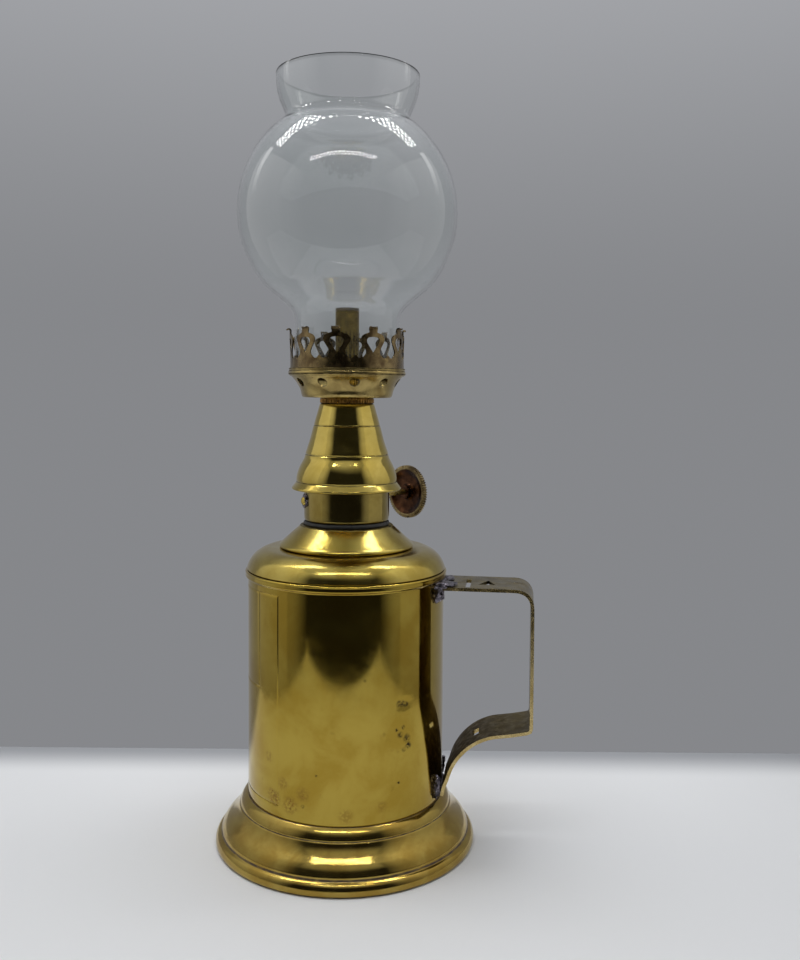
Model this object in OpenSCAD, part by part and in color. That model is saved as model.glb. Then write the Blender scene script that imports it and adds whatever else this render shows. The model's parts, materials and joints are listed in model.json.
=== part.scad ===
// Brass hand lamp for mineral spirit: a wadding-filled reservoir on a moulded foot, a strap handle, a
// screw-in burner with a rack-raised round wick, a stepped cone that lifts off, and a globe chimney.
// Z points up, the lamp's axis is the Z axis, the foot stands on z = 0 and the handle lies along +X.

/* [Foot] */
// Diameter over the rolled rim of the foot
foot_d = 80; // [78:1:88]
// Height of the foot, from the table to the bottom of the reservoir wall
foot_h = 15.9; // [15:0.1:20]
// Height of the rolled rim
rim_h = 4; // [3:0.1:4.4]

/* [Reservoir] */
// Outside diameter of the reservoir wall
body_d = 59.6; // [56:0.2:60]
// Height of the reservoir wall, up to the seam under the shoulder
body_h = 68.9; // [60:0.1:90]
// How far the seam band stands out from the reservoir wall
band_out = 0.8; // [0.3:0.1:1.2]
// Height of the rounded shoulder
shoulder_h = 6.4; // [5.5:0.1:8]
// Height of the small dome round the neck
neck_h = 6.8; // [6.6:0.1:7.4]
// Thickness of the thin brass sheet
sheet = 0.6; // [0.5:0.05:0.7]

/* [Handle] */
// Width of the handle strap
strap_w = 19; // [14:0.5:22]
// Thickness of the handle strap
strap_t = 1; // [0.8:0.1:1.4]
// Distance from the lamp's axis to the inside of the handle's grip
grip_x = 56; // [50:0.5:64]
// Height of the underside of the top of the handle
grip_top = 80.3; // [78:0.1:80.8]
// Height of the upper face of the handle's lower leg, at the grip
grip_low = 38.6; // [34:0.2:44]

/* [Burner] */
// Thickness of the gasket under the burner
gasket_t = 1.3; // [1:0.1:2]
// Outside diameter of the burner's collar
collar_d = 25.8; // [25.4:0.1:26.4]
// Visible height of the collar, up to the cone's flange
collar_h = 9.3; // [9.2:0.1:12]
// Diameter of the screw in the neck
screw_d = 19; // [17:0.1:20]
// Depth of the screw below the collar
screw_h = 8; // [7:0.1:9]
// Outside diameter of the wick tube
tube_d = 7.1; // [6.9:0.05:7.4]
// Height of the wick tube's mouth above the table
tube_top = 163.2; // [158:0.2:166]

/* [Wick drive] */
// Direction of the knob's spindle, counted from the handle
spindle_az = 50; // [30:1:75]
// Height of the spindle above the collar's floor
spindle_up = 6; // [5.6:0.1:6.4]
// Number of teeth on the pinion
teeth = 9; // [9:1:9]
// Module of the pinion and the rack
gear_m = 0.45; // [0.45:0.01:0.45]
// Number of teeth on the rack
rack_teeth = 10; // [10:1:10]
// Diameter of the milled knob
knob_d = 17.3; // [14:0.1:18]
// Distance from the lamp's axis plane to the middle of the knob, along the spindle
knob_out = 30.8; // [27:0.1:34]

/* [Cone and gallery] */
// Height of the stepped cone
cone_h = 25.8; // [24:0.1:30]
// Height of the milled clamp ring
ring_h = 1.8; // [1.4:0.1:2.4]
// Height of the gallery dish, its rolled rim included
dish_h = 8.7; // [8.4:0.1:10]
// Number of air holes, and of prongs on the crown
prongs = 10; // [6:1:10]
// Diameter of an air hole in the dish
air_hole_d = 3.1; // [2:0.1:3.2]
// Height of the crown's prongs, tips included
prong_h = 8.8; // [8.4:0.1:10]

/* [Chimney] */
// Radius of the globe
globe_r = 32.4; // [30:0.1:36]
// Outside radius of the neck that stands in the crown
glass_neck_r = 15.6; // [15.2:0.05:15.8]
// Height of the globe's centre above the bottom of the glass
globe_up = 45.9; // [44:0.1:52]
// Overall height of the glass
glass_h = 85.4; // [84:0.1:92]
// Thickness of the glass
glass_t = 1.2; // [1:0.1:1.6]

/* [Hidden] */
$fn = 64;

foot_r = foot_d / 2;
body_r = body_d / 2;
bore_r = body_r - sheet;
fit = 0.05;

seam_z = foot_h + body_h;
shoulder_z = seam_z + shoulder_h;
neck_z = shoulder_z + neck_h;
collar_z = neck_z + gasket_t;
cone_z = collar_z + collar_h;
cone_top = cone_z + cone_h;
dish_z = cone_top + ring_h;
seat_z = dish_z + dish_h - 1.3;

collar_r = collar_d / 2;
collar_top = cone_z + 3.7;
screw_r = screw_d / 2;
tube_r = tube_d / 2;
tube_bore = tube_r - 0.5;
hub_r = tube_r + 1.7;

pitch_r = gear_m * teeth / 2;
pitch = PI * gear_m;
rack_x = tube_bore + 0.65;
spindle_x = rack_x + pitch_r;
spindle_z = collar_z + spindle_up;
spindle_r = 0.9;
stub_out = collar_r - 0.6;
wick_up = 8;
wick_down = 3;
window_w = 2.4;

sleeve_r = collar_r + fit;
cone_sheet = 0.5;

// Points along an arc about c, from angle a0 to angle a1
function arc(c, r, a0, a1, n) = [for (i = [0:n]) let (a = a0 + (a1 - a0) * i / n) c + r * [cos(a), sin(a)]];
function unit(v) = v / norm(v);
// The direction to the left of a path at its point i
function left_of(p, i) = let (d = unit(p[min(i + 1, len(p) - 1)] - p[max(i - 1, 0)])) [-d.y, d.x];
function beside(p, t) = [for (i = [0:len(p) - 1]) p[i] + t * left_of(p, i)];
function backwards(p) = [for (i = [len(p) - 1:-1:0]) p[i]];
function lifted(p, z) = [for (q = p) [q.x, q.y + z]];

// A strip of thickness t to the left of a path
module strip(path, t) polygon(concat(path, backwards(beside(path, t))));
// Sheet metal spun round the lamp's axis: its outside follows the path from the bottom to the top
module spun(path, t) rotate_extrude() strip(path, t);
module ring(r_out, r_in, z0, z1) {
    translate([0, 0, z0]) difference() {
        cylinder(r = r_out, h = z1 - z0);
        translate([0, 0, -1]) cylinder(r = r_in, h = z1 - z0 + 2);
    }
}
// Puts its child on the spindle's line: the child's Z runs outwards to the knob, its X away from the wick
module on_spindle(along = 0) {
    rotate([0, 0, spindle_az]) translate([along, spindle_x, spindle_z])
        rotate([0, 90, 0]) rotate([0, 0, 90]) children();
}

/* ---- Foot and reservoir ---- */

module foot_shell() {
    rim = concat(arc([foot_r - 1.2, 1.2], 1.2, -90, 0, 5), arc([foot_r - 1.7, rim_h - 1.6], 1.6, 0, 80, 5),
        [[foot_r - 2.6, rim_h], [foot_r - 2.6, 0]]);
    wall = concat([[foot_r - 2.2, rim_h - 0.6], [foot_r - 2, rim_h + 0.8], [foot_r - 2.3, rim_h + 1.5],
        [foot_r - 3, rim_h + 2.9], [foot_r - 3.7, rim_h + 3.7], [foot_r - 5, rim_h + 5], [foot_r - 6.3, rim_h + 6.4]],
        [[body_r + 3, foot_h - 4.1], [body_r + 2.5, foot_h - 3.6], [body_r + 2.4, foot_h - 3.3]],
        arc([body_r + 0.4, foot_h - 2.2], 1.9, -15, 80, 6),
        [[body_r - 0.2, foot_h], [body_r - 4, foot_h]]);
    color("darkgoldenrod") union() {
        rotate_extrude() polygon(rim);
        spun(wall, sheet);
    }
}

module foot_plate() {
    color("goldenrod") union() {
        ring(foot_r - 2.65, 14, 1.6, 2.3);
        translate([0, 0, 1.6]) cylinder(r = 12, h = 0.7);
        rotate_extrude() polygon([[11.5, 1.6], [12.5, 2.8], [13.5, 2.8], [14.5, 1.6], [14.5, 2.3],
            [13.7, 3.4], [12.3, 3.4], [11.5, 2.3]]);
    }
}

module reservoir_tube() {
    band_r = body_r + band_out;
    wall = concat([[body_r, foot_h], [body_r, seam_z - 2.3]],
        arc([band_r - 0.5, seam_z - 1.5], 0.5, -60, 0, 3), arc([band_r - 0.5, seam_z - 0.5], 0.5, 0, 90, 4),
        [[body_r, seam_z]]);
    color("gold") rotate_extrude() polygon(concat(wall, [[bore_r, seam_z], [bore_r, foot_h]]));
}

module reservoir_floor() {
    color("goldenrod") union() {
        translate([0, 0, foot_h + 0.5]) cylinder(r = bore_r - 0.05, h = 0.7);
        ring(bore_r - 0.05, bore_r - 0.75, foot_h + 0.5, foot_h + 4);
    }
}

module wadding() {
    color("linen") difference() {
        translate([0, 0, foot_h + 1.7]) cylinder(r = bore_r - 0.9, h = body_h - 7);
        translate([0, 0, foot_h + 20]) cylinder(r = 4.2, h = body_h);
    }
}

module wadding_gauze() {
    z0 = foot_h + body_h - 5.1;
    color("silver") difference() {
        ring(bore_r - 0.8, 4.2, z0, z0 + 0.6);
        for (row = [1:3], i = [0:8 * row - 1])
            rotate([0, 0, 360 * i / (8 * row)]) translate([3 + 6.6 * row, 0, z0 - 1]) cylinder(r = 1.3, h = 3);
    }
}

module shoulder_dome() {
    skirt_r = bore_r - 0.05;
    outside = concat([[skirt_r, seam_z - 3.2], [skirt_r, seam_z + 0.05], [body_r + 0.25, seam_z + 0.15]],
        arc([body_r - 5.4, seam_z - 0.2], 5.6, 14, 60, 7),
        [[body_r - 4.1, shoulder_z - 1], [body_r - 5.5, shoulder_z - 0.4], [body_r - 8.4, shoulder_z],
        [screw_r + 1.3, shoulder_z]]);
    color("gold") spun(outside, sheet);
}

module neck_dome() {
    lip_r = body_r - 9.6;
    outside = concat([[lip_r - 2.6, shoulder_z + 0.05], [lip_r - 0.6, shoulder_z + 0.1]],
        arc([lip_r - 0.6, shoulder_z + 1], 0.75, -60, 50, 5),
        [[lip_r - 1, neck_z - 4.8], [lip_r - 6.1, neck_z - 0.4], [lip_r - 6.8, neck_z], [screw_r + 1.5, neck_z]]);
    color("gold") spun(outside, sheet);
}

module neck_socket() {
    color("goldenrod") ring(screw_r + 1.1, screw_r, shoulder_z - 3.2, neck_z);
}

/* ---- Handle ---- */

// The inside face of the handle's loop in the XZ plane, from the top of the reservoir round to its foot
function grip_path() = concat([[body_r - 2.6, grip_top], [grip_x - 4.8, grip_top]],
    arc([grip_x - 4.6, grip_top - 4.4], 4.4, 90, 0, 6),
    [[grip_x + 0.3, grip_low + 0.4], [grip_x + 0.05, grip_low], [grip_x - 5, grip_low - 0.5]],
    [for (a = [94:9:166]) [body_r + 22 - 2.4, grip_low - 20] + [18.3 * cos(a), 19.1 * sin(a)]],
    [[body_r + 0.6, grip_low - 18.3], [body_r + 0.05, grip_low - 20.6]]);

module handle_solid() {
    difference() {
        rotate([90, 0, 0]) linear_extrude(height = strap_w, center = true) strip(grip_path(), strap_t);
        cylinder(r = body_r, h = seam_z);
    }
}

module handle_strap() {
    slot_x = body_r + 6.8;
    color("gold") difference() {
        handle_solid();
        translate([slot_x, -7.8, grip_top - 2]) cube([1.5, 11.6, 6]);
        translate([0, 0, grip_top - 2]) linear_extrude(height = 6)
            polygon([[slot_x + 3.7, -3.4], [slot_x + 8.9, -3.4], [slot_x + 6.6, 3.2]]);
        translate([slot_x + 2.8, -3.4, grip_low - 8]) cube([1.9, 4.9, 8]);
    }
}

// A solder fillet on the reservoir wall round one end of the strap
module solder_fillet(z0, z1, half_w) {
    color("dimgray") difference() {
        intersection() {
            translate([0, 0, z0]) cylinder(r = body_r + 1.3, h = z1 - z0);
            translate([body_r - 8, -half_w, z0 - 1]) cube([20, 2 * half_w, z1 - z0 + 2]);
        }
        translate([0, 0, z0 - 1]) cylinder(r = body_r, h = z1 - z0 + 2);
        handle_solid();
    }
}
module upper_solder() { solder_fillet(grip_top - 2.4, seam_z - 2.35, strap_w / 2 + 1.2); }
module lower_solder() { solder_fillet(foot_h + 0.1, grip_low - 14.6, strap_w / 2 + 1); }

/* ---- Burner ---- */

module neck_gasket() {
    mid = gasket_t / 2;
    color([0.05, 0.05, 0.05]) translate([0, 0, neck_z]) rotate_extrude()
        polygon(concat([[screw_r + 0.3, 0.03]], arc([collar_r - 0.5, mid], mid - 0.03, -90, 90, 8),
            [[screw_r + 0.3, gasket_t - 0.03]]));
}

module burner_plug() {
    z0 = collar_z - screw_h;
    color("goldenrod") difference() {
        union() {
            translate([0, 0, z0]) cylinder(r = screw_r - fit, h = screw_h + 0.7);
            ring(screw_r + 1.8, screw_r - 1, collar_z + 0.65, collar_z + 1.3);
        }
        translate([0, 0, z0 + 0.8]) cylinder(r = screw_r - 1.1, h = screw_h + 2);
        translate([0, 0, z0 - 1]) cylinder(r = tube_r + 0.05, h = 3);
    }
}

module burner_collar() {
    outline = concat([[screw_r, collar_z]], arc([collar_r - 0.9, collar_z + 0.9], 0.9, -90, 0, 5),
        [[collar_r, collar_top], [collar_r - 0.5, collar_top], [collar_r - 0.5, collar_z + 0.65],
        [screw_r, collar_z + 0.65]]);
    color("gold") difference() {
        rotate_extrude() polygon(outline);
        on_spindle() cylinder(r = 1.55, h = collar_r);
        on_spindle(-collar_r) cylinder(r = 1.4, h = collar_r);
    }
}

module wick_tube() {
    window_z = spindle_z - wick_up - wick_down - 2.4;
    color("goldenrod") difference() {
        ring(tube_r, tube_bore, collar_z - 14.2, tube_top);
        rotate([0, 0, spindle_az]) translate([-window_w / 2, 0, window_z])
            cube([window_w, tube_r + 1, 2 * (wick_up + wick_down) + 5]);
    }
}

module spindle_bush() {
    color("goldenrod") difference() {
        union() {
            on_spindle(8.5) cylinder(r = 1.5, h = 6.5);
            on_spindle(12.6) cylinder(r = 2.3, h = 1.2);
        }
        on_spindle(8) cylinder(r = spindle_r + fit, h = 10);
    }
}

module stub_bush() {
    color("goldenrod") difference() {
        on_spindle(-stub_out) cylinder(r = 1.35, h = 3.6);
        on_spindle(-stub_out + 0.6) cylinder(r = spindle_r + fit, h = 6);
    }
}

// Solder round the blind bush, following the collar's wall
module stub_solder() {
    color("dimgray") difference() {
        intersection() {
            on_spindle(-collar_r - 1) cylinder(r = 2.5, h = collar_r - 3);
            translate([0, 0, collar_z]) cylinder(r = collar_r + 0.4, h = collar_h - 0.2);
        }
        translate([0, 0, collar_z - 1]) cylinder(r = collar_r, h = collar_h + 2);
        on_spindle(-collar_r - 2) cylinder(r = 1.4, h = 10);
    }
}

/* ---- Wick drive ---- */

// One straight-sided tooth, standing on the X axis at radius r0 and reaching to r1
function tooth(r0, r1) = [[r0, -0.4], [pitch_r, -0.27], [r1, -0.13], [r1, 0.13], [pitch_r, 0.27], [r0, 0.4]];

module spindle() {
    start = stub_out - 0.7;
    color("goldenrod") on_spindle(-start) cylinder(r = spindle_r, h = knob_out + start + 1.6);
}

module pinion() {
    color("goldenrod") on_spindle(-0.9) linear_extrude(height = 1.8) difference() {
        union() {
            circle(r = pitch_r - 0.55);
            for (i = [0:teeth - 1])
                rotate(180 + 360 * i / teeth) polygon(tooth(pitch_r - 0.75, pitch_r + 0.4));
        }
        circle(r = spindle_r + 0.01);
    }
}

module wick_knob() {
    r = knob_d / 2;
    section = concat([[spindle_r + 0.02, -1.4], [2.1, -1.4], [2.4, 0.7], [r - 2.6, 0.3], [r - 1.5, -0.75],
        [r, -0.75], [r, 0.75], [r - 1, 1.1], [r - 2.4, 1.1]], [[2.5, 1.6], [spindle_r + 0.02, 1.6]]);
    color("saddlebrown") on_spindle(knob_out) rotate_extrude() polygon(section);
}

module knob_rivet() {
    color("gold") on_spindle(knob_out + 1.62) cylinder(r = 1.7, h = 0.7);
}

module wick_carrier() {
    color("goldenrod") ring(tube_bore - 0.07, tube_bore - 0.57, spindle_z - 11, spindle_z + 7);
}

module wick_rack() {
    low_z = spindle_z - wick_up - 1.7;
    color("goldenrod") rotate([0, 0, spindle_az]) rotate([90, 0, 90])
        linear_extrude(height = 1.6, center = true) union() {
            translate([tube_bore - 0.07, low_z]) square([0.25, rack_teeth * pitch]);
            for (i = [0:rack_teeth - 1])
                translate([rack_x - pitch_r, spindle_z + (i - rack_teeth / 2 - 1.5) * pitch])
                    polygon(tooth(pitch_r - 0.5, pitch_r + 0.35));
        }
}

module wick() {
    color("ivory") translate([0, 0, foot_h + 24]) cylinder(r = tube_bore - 0.6, h = tube_top - foot_h - 25.2);
}

/* ---- Cone and gallery ---- */

function cone_path() = lifted([[sleeve_r + 0.6, 0.05], [16.1, 0.05], [16.55, 0.3], [16.62, 0.8],
    [15.3, 2.3], [15.15, 2.9], [14.75, 4.4], [14.3, 5.9], [13.3, 8.8], [12.7, 10.1], [12.35, 10.7],
    [11.9, 12.1], [11, 15], [10.4, 17.8], [10.1, 19], [9.8, 19.7], [9.45, 21], [8.7, cone_h - 1.9],
    [8.2, cone_h - 0.3], [7.9, cone_h], [hub_r + 0.05, cone_h]], cone_z);

module cone_cap() {
    color("gold") spun(cone_path(), cone_sheet);
}

module cone_sleeve() {
    color("goldenrod") union() {
        ring(sleeve_r + 0.5, sleeve_r, cone_z + 0.6, collar_top + 0.6);
        ring(sleeve_r + 0.5, sleeve_r - 1.2, collar_top + 0.05, collar_top + 0.6);
    }
}

module clamp_ring() {
    color("peru") ring(8.1, hub_r + 0.05, cone_top, dish_z - 0.02);
}

// A hollow rivet that holds the cone, the clamp ring and the dish together round the wick tube
module gallery_tube() {
    color("goldenrod") difference() {
        union() {
            translate([0, 0, cone_top - 1.2]) cylinder(r = hub_r + 1.6, h = 0.65);
            translate([0, 0, cone_top - 1.2]) cylinder(r = hub_r, h = ring_h + 2.6);
            translate([0, 0, dish_z + 0.55]) cylinder(r = hub_r + 1.8, h = 0.85);
        }
        translate([0, 0, cone_top - 3]) cylinder(r = hub_r - 1, h = ring_h + 8);
    }
}

function dish_path() = lifted([[hub_r + 0.05, 0], [12.9, 0], [13.4, 0.45], [13.75, 1.9], [14.6, 3.6],
    [15.6, 5.1], [16.5, 6.2], [17.35, dish_h - 1.8]], dish_z);

module gallery_dish() {
    rim_z = dish_z + dish_h;
    color("gold") difference() {
        union() {
            spun(dish_path(), 0.5);
            rotate_extrude() polygon(concat([[17, rim_z - 1.75]], arc([17.2, rim_z - 1.1], 0.4, -60, 60, 5),
                arc([17, rim_z - 0.35], 0.35, 0, 90, 4)));
        }
        for (i = [0:prongs - 1])
            rotate([0, 0, i * 360 / prongs]) translate([15.2, 0, dish_z + 4.7])
                rotate([0, 125, 0]) cylinder(d = air_hole_d, h = 5, center = true);
    }
}

// One prong of the crown drawn flat: a loop with a teardrop eye, and half a scallop on either side
module prong_outline() {
    half = [[5.4, -0.5], [5.4, 0.8], [4.9, 0.25], [4, -0.1], [3, 0.25], [2.6, 0.9], [2.6, 1.6], [3.1, 3],
        [3.8, 4.5], [3.95, 5.4], [3.5, 6.4], [2.5, 7], [1.6, 7.3], [1.5, prong_h - 0.8]];
    difference() {
        polygon(concat(half, [for (q = backwards(half)) [-q.x, q.y]]));
        polygon(concat([[0, 0.9], [0.8, 2.1]], arc([0, 3.9], 1.65, -20, 200, 8), [[-0.8, 2.1]]));
    }
}

module gallery_crown() {
    base_z = dish_z + dish_h + 2.8;
    band_r = 16.95;
    color("saddlebrown") union() {
        ring(band_r, glass_neck_r - 1.4, seat_z, seat_z + 0.5);
        ring(band_r, band_r - 0.4, seat_z, base_z);
        intersection() {
            ring(band_r, band_r - 0.4, base_z - 1, base_z + prong_h);
            for (i = [0:prongs - 1])
                rotate([0, 0, (i + 0.5) * 360 / prongs]) translate([0, 0, base_z]) rotate([90, 0, 90])
                    linear_extrude(height = 20) prong_outline();
        }
        for (i = [0:prongs - 1])
            rotate([0, 0, (i + 0.5) * 360 / prongs]) translate([band_r + 0.2, 0, base_z + prong_h - 0.75])
                rotate([90, 0, 0]) cylinder(d = 1.5, h = 3.2, center = true);
    }
}

/* ---- Chimney ---- */

function glass_path() = let (globe = arc([0, globe_up], globe_r, -40, 50, 27)) lifted(concat(
    [[glass_neck_r, 0], [glass_neck_r, 13.6], globe[0] - [8.9, 8.8], globe[0] - [7.6, 6.5],
    globe[0] - [5, 4.25], globe[0] - [1.9, 1.65]], globe,
    [[18.7, globe_up + 26.8], [18.3, globe_up + 28], [18.6, globe_up + 29.3], [19.6, globe_up + 31.6],
    [20.4, globe_up + 34], [20.8, globe_up + 36.5], [20.95, glass_h]]), seat_z + 0.55);

module glass_chimney() {
    color([0.85, 0.9, 0.9, 0.4]) spun(glass_path(), glass_t);
}

foot_shell();
foot_plate();
reservoir_tube();
reservoir_floor();
wadding();
wadding_gauze();
shoulder_dome();
neck_dome();
neck_socket();
handle_strap();
upper_solder();
lower_solder();
neck_gasket();
burner_plug();
burner_collar();
wick_tube();
spindle_bush();
stub_bush();
stub_solder();
spindle();
pinion();
wick_knob();
knob_rivet();
wick_carrier();
wick_rack();
wick();
cone_cap();
cone_sleeve();
clamp_ring();
gallery_tube();
gallery_dish();
gallery_crown();
glass_chimney();
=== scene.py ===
import json
import math

import bmesh
import bpy
import numpy as np
from mathutils import Matrix, Vector, geometry, kdtree, noise


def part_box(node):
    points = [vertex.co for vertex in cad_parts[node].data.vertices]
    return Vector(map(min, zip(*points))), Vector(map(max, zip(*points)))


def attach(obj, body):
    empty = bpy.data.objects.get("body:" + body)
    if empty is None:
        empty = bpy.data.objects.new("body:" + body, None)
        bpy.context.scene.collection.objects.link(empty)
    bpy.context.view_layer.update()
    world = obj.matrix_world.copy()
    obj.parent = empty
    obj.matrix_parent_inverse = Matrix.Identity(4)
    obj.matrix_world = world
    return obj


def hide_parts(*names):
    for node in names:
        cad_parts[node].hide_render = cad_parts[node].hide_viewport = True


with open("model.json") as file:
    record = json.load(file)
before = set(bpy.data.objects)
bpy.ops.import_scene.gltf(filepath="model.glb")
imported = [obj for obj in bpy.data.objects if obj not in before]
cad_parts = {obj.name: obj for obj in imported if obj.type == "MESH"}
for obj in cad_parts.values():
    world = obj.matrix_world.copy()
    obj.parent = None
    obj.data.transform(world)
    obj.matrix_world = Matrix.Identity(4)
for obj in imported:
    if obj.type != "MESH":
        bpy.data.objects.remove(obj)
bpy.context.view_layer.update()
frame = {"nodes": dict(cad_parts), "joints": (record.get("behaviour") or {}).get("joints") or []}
nodes = frame["nodes"]
MM = 0.001
same_point = 0.01  # mm within which the two ends of a wrapped sheet join


# ---- Sizes, in millimetres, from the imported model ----

def span(node):
    lo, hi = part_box(node)
    return lo / MM, hi / MM


def low(node):
    return span(node)[0].z


def high(node):
    return span(node)[1].z


foot_r = span("foot_shell")[1].y
body_lo = low("reservoir_tube")
seam_z = high("reservoir_tube")
band_r = span("reservoir_tube")[1].y
body_r = band_r - 0.8
shoulder_z = high("shoulder_dome")
neck_z = high("neck_dome")
collar_z = low("burner_collar")
collar_r = span("burner_collar")[1].y
collar_top = high("burner_collar")
cone_z = low("cone_cap") - 0.05
cone_top = high("cone_cap")
ring_r = span("clamp_ring")[1].y
dish_z = low("gallery_dish")
rim_z = high("gallery_dish")
dish_r = span("gallery_dish")[1].y
crown_lo = low("gallery_crown")
crown_hi = high("gallery_crown")
tube_r = span("wick_tube")[1].y
tube_lo = low("wick_tube")
tube_top = high("wick_tube")
glass_lo = low("glass_chimney")
glass_top = high("glass_chimney")
globe_r = span("glass_chimney")[1].y
knob_joint = [j for j in frame["joints"] if j["name"] == "knob_turn"][0]
spindle_p = Vector(knob_joint["pos_m"]) / MM
spindle_dir = -Vector(knob_joint["axis"])
knob_lo, knob_hi = span("wick_knob")
knob_mid = ((knob_lo + knob_hi) / 2 - spindle_p).dot(spindle_dir)
knob_r = (knob_hi.z - knob_lo.z) / 2
strap_hi = span("handle_strap")[1]


# ---- Curves ----

def rounded(points, n=5, at=(0, 0)):
    """An open line of corners (x, y) or (x, y, cut), measured from at, with each cut corner made a curve."""
    pts = [np.array(p[:2], float) + at for p in points]
    cuts = [p[2] if len(p) > 2 else 0 for p in points]
    out = [pts[0]]
    for i in range(1, len(pts) - 1):
        a, b, c = pts[i - 1], pts[i], pts[i + 1]
        la, lc = np.linalg.norm(b - a), np.linalg.norm(c - b)
        d = min(cuts[i], 0.48 * la, 0.48 * lc)
        if d <= 0:
            out.append(b)
            continue
        p, q = b + (a - b) / la * d, b + (c - b) / lc * d
        for k in range(n + 1):
            t = k / n
            out.append((1 - t) ** 2 * p + 2 * t * (1 - t) * b + t * t * q)
    out.append(pts[-1])
    return np.array(out)


def flowing(points, step, at=(0, 0)):
    """A smooth line through all the points, measured from at, with a vertex about every step."""
    p = np.array(points, float) + at
    p = np.vstack([2 * p[0] - p[1], p, 2 * p[-1] - p[-2]])
    out = []
    for i in range(1, len(p) - 2):
        n = max(1, int(np.ceil(np.linalg.norm(p[i + 1] - p[i]) / step)))
        for k in range(n):
            t = k / n
            out.append(0.5 * (2 * p[i] + (p[i + 1] - p[i - 1]) * t
                              + (2 * p[i - 1] - 5 * p[i] + 4 * p[i + 1] - p[i + 2]) * t * t
                              + (3 * p[i] - p[i - 1] - 3 * p[i + 1] + p[i + 2]) * t ** 3))
    out.append(p[-2])
    return np.array(out)


def split(line, step):
    """The same line with its long stretches divided."""
    out = [line[0]]
    for a, b in zip(line[:-1], line[1:]):
        n = max(1, int(np.ceil(np.linalg.norm(b - a) / step)))
        out += [a + (b - a) * k / n for k in range(1, n + 1)]
    return np.array(out)


def beside(line, t):
    """The line moved t to its left."""
    d = np.gradient(line, axis=0)
    d /= np.maximum(np.linalg.norm(d, axis=1), 1e-9)[:, None]
    return line + t * np.stack([-d[:, 1], d[:, 0]], 1)


def strip(line, t):
    """The closed outline of a wall t thick on the left of the line."""
    return np.vstack([line, beside(line, t)[::-1]])


def along(line):
    """How far along the line each of its points is."""
    return np.concatenate([[0], np.cumsum(np.linalg.norm(np.diff(line, axis=0), axis=1))])


def ripple(a, z, size, seed):
    """A gentle unevenness of thin metal over angle and height, as a share of 1 either way."""
    total = np.zeros(np.broadcast(a, z).shape)
    rng = np.random.default_rng(seed)
    for k in (1, 2, 3, 5, 8):
        f, p, q = rng.uniform(0.6, 1.4) / size, rng.uniform(0, 6.28), rng.uniform(0, 6.28)
        total = total + np.sin(k * a + p + 2 * np.sin(z * f + q)) * np.cos(z * f * k + q) / (k + 1)
    return total / 1.6


def uneven(amount, size, seed, above=-1e3, beyond=-1e3):
    """A push for turned(): ripples of the given size above a height and beyond a radius."""
    return lambda a, z, r: amount * ripple(a, z, size, seed) * (z > above) * (r > beyond)


# ---- Meshes ----

def piece(name, verts, faces, material, body, slot, stands_for=(), angle=32, bevel=0, matrix=None,
          weld=1e-3):
    """A named mesh on a body, with the CAD nodes it stands for. Its slot is not used."""
    mesh = bpy.data.meshes.new(name)
    v = np.asarray(verts, float)
    if matrix is not None:
        m = np.array(matrix)
        v = v @ m[:3, :3].T + m[:3, 3]
    mesh.from_pydata((v * MM).tolist(), [], faces)
    bm = bmesh.new()
    bm.from_mesh(mesh)
    bmesh.ops.remove_doubles(bm, verts=bm.verts, dist=weld * MM)
    bmesh.ops.dissolve_degenerate(bm, edges=bm.edges, dist=1e-4 * MM)
    bmesh.ops.recalc_face_normals(bm, faces=bm.faces)
    bm.to_mesh(mesh)
    bm.free()
    mesh.shade_smooth()
    mesh.set_sharp_from_angle(angle=math.radians(angle))
    obj = bpy.data.objects.new(name, mesh)
    bpy.context.scene.collection.objects.link(obj)
    mesh.materials.append(material)
    if bevel:
        m = obj.modifiers.new("edge", "BEVEL")
        m.width, m.segments, m.limit_method, m.angle_limit = bevel * MM, 2, "ANGLE", math.radians(55)
        m.harden_normals = True
    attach(obj, body)
    if stands_for:
        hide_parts(*stands_for)
    return obj


def turned(profile, segments, angles=None, push=None, closed=True):
    """Turns a closed outline of (radius, height) round the Z axis."""
    a = np.linspace(0, 2 * np.pi, segments, endpoint=False) if angles is None else np.asarray(angles)
    r, z = profile[:, 0][:, None], profile[:, 1][:, None]
    a = a[None, :]
    rr, zz = (np.broadcast_to(r, (len(profile), a.shape[1])).copy(),
              np.broadcast_to(z, (len(profile), a.shape[1])))
    if push is not None:
        rr = rr + push(np.broadcast_to(a, rr.shape), zz, rr)
    verts = np.stack([rr * np.cos(a), rr * np.sin(a), zz], -1).reshape(-1, 3)
    n, m = rr.shape
    faces = []
    for i in range(n if closed else n - 1):
        i2 = (i + 1) % n
        for j in range(m):
            j2 = (j + 1) % m
            faces.append((i * m + j, i * m + j2, i2 * m + j2, i2 * m + j))
    return verts, faces


def lathe(name, material, body, slot, stands_for, outline, segments=192, angles=None, push=None,
          closed=True, **look):
    """A piece turned from an outline."""
    return piece(name, *turned(outline, segments, angles, push, closed), material, body, slot, stands_for,
                 **look)


def inside(poly, p):
    """Which of the points p lie inside the polygon."""
    x, y = p[:, 0], p[:, 1]
    hit = np.zeros(len(p), bool)
    q = np.roll(poly, -1, axis=0)
    for (x0, y0), (x1, y1) in zip(poly, q):
        if y0 == y1:
            continue
        cross = ((y0 > y) != (y1 > y)) & (x < (x1 - x0) * (y - y0) / (y1 - y0) + x0)
        hit ^= cross
    return hit


def far_from(loop, p, gap):
    """Which of the points p are at least gap away from the loop."""
    a, b = loop, np.roll(loop, -1, axis=0)
    best = np.full(len(p), 1e9)
    for s, e in zip(a, b):
        d = e - s
        t = np.clip(((p - s) @ d) / max(d @ d, 1e-12), 0, 1)
        best = np.minimum(best, np.linalg.norm(p - (s + t[:, None] * d), axis=1))
    return best >= gap


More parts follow.
